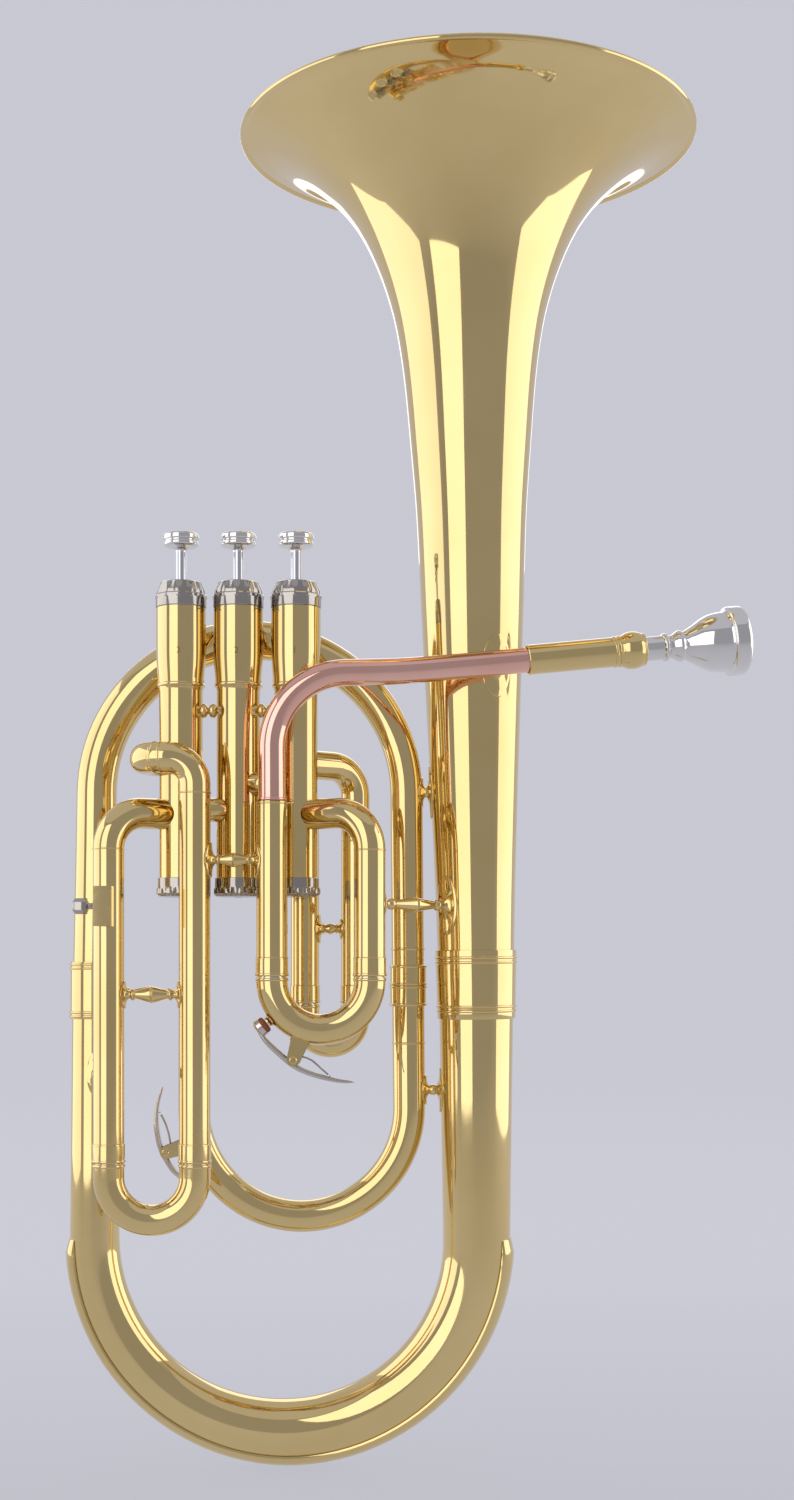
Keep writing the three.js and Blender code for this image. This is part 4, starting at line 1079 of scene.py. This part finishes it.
def studio():
    """A round floor that curves up into a wall on every side, and a pale world over it."""
    arcs = [math.pi / 2 * k / 24 for k in range(1, 25)]
    section = [(0, 0), (FLOOR_RADIUS / 2, 0), (FLOOR_RADIUS, 0)]
    section += [(FLOOR_RADIUS + COVE_RADIUS * math.sin(a), COVE_RADIUS - COVE_RADIUS * math.cos(a))
                for a in arcs]
    section += [(FLOOR_RADIUS + COVE_RADIUS, WALL_TOP)]
    drop = GAP * MM  # the floor is this far under the horn
    rings = [[Vector((r * math.cos(a), r * math.sin(a), z - drop)) for a in around(96)]
             for r, z in section]
    shape = Shape().loft(rings)
    mesh = bpy.data.meshes.new("studio_floor")
    mesh.from_pydata(shape.points, [], shape.faces[:-2])  # without the loft's two caps
    mesh.shade_smooth()
    mesh.materials.append(paper())
    floor = bpy.data.objects.new("studio_floor", mesh)
    bpy.context.scene.collection.objects.link(floor)
    world = bpy.data.worlds.new("studio_world")
    world.use_nodes = True
    world.node_tree.nodes["Background"].inputs["Color"].default_value = (0.60, 0.60, 0.67, 1)
    world.node_tree.nodes["Background"].inputs["Strength"].default_value = 0.9
    bpy.context.scene.world = world


def softbox(name, azimuth, distance, width, height, centre_z, radiance):
    """An upright panel at an azimuth in degrees, clockwise from the viewer's side when seen
    from above."""
    data = bpy.data.lights.new(name, "AREA")
    data.shape = "RECTANGLE"
    data.size = width
    data.size_y = height
    data.energy = radiance * math.pi * width * height
    panel = bpy.data.objects.new(name, data)
    angle = math.radians(azimuth)
    target = Vector((CENTRE.x, CENTRE.y, centre_z))
    panel.location = target + Vector((-math.sin(angle), -math.cos(angle), 0)) * distance
    panel.rotation_euler = (target - panel.location).to_track_quat("-Z", "Y").to_euler()
    panel.visible_camera = False
    bpy.context.scene.collection.objects.link(panel)


def lights():
    softbox("key_panel", 32, 1.7, 1.15, 2.4, CENTRE.z, 1.2)
    softbox("left_panel", 96, 1.7, 2.1, 2.4, CENTRE.z, 0.92)
    softbox("right_panel", -94, 1.7, 2.0, 2.4, CENTRE.z, 1.07)
    softbox("back_panel", 180, 2.2, 1.6, 1.4, 1.6, 0.9)


def camera():
    data = bpy.data.cameras.new("camera")
    data.lens = 48
    data.sensor_width = 36
    data.shift_y = 0.14
    eye = bpy.data.objects.new("camera", data)
    eye.location = (0.0587, -1.057, 0.2675)
    eye.rotation_euler = (math.pi / 2, 0, 0)
    bpy.context.scene.collection.objects.link(eye)
    bpy.context.scene.camera = eye

bell_form()
branches()
guard_form()
valves()
knuckles()
slides()
for each_key in (MAIN_KEY, LOOP_KEY):
    water_key(each_key)
loop_form()
mouthpipe()
braces()
leadpipe_foot()
kept_nodes()
lyre_screw()
studio()
lights()
camera()
bpy.context.scene.view_settings.view_transform = "Standard"
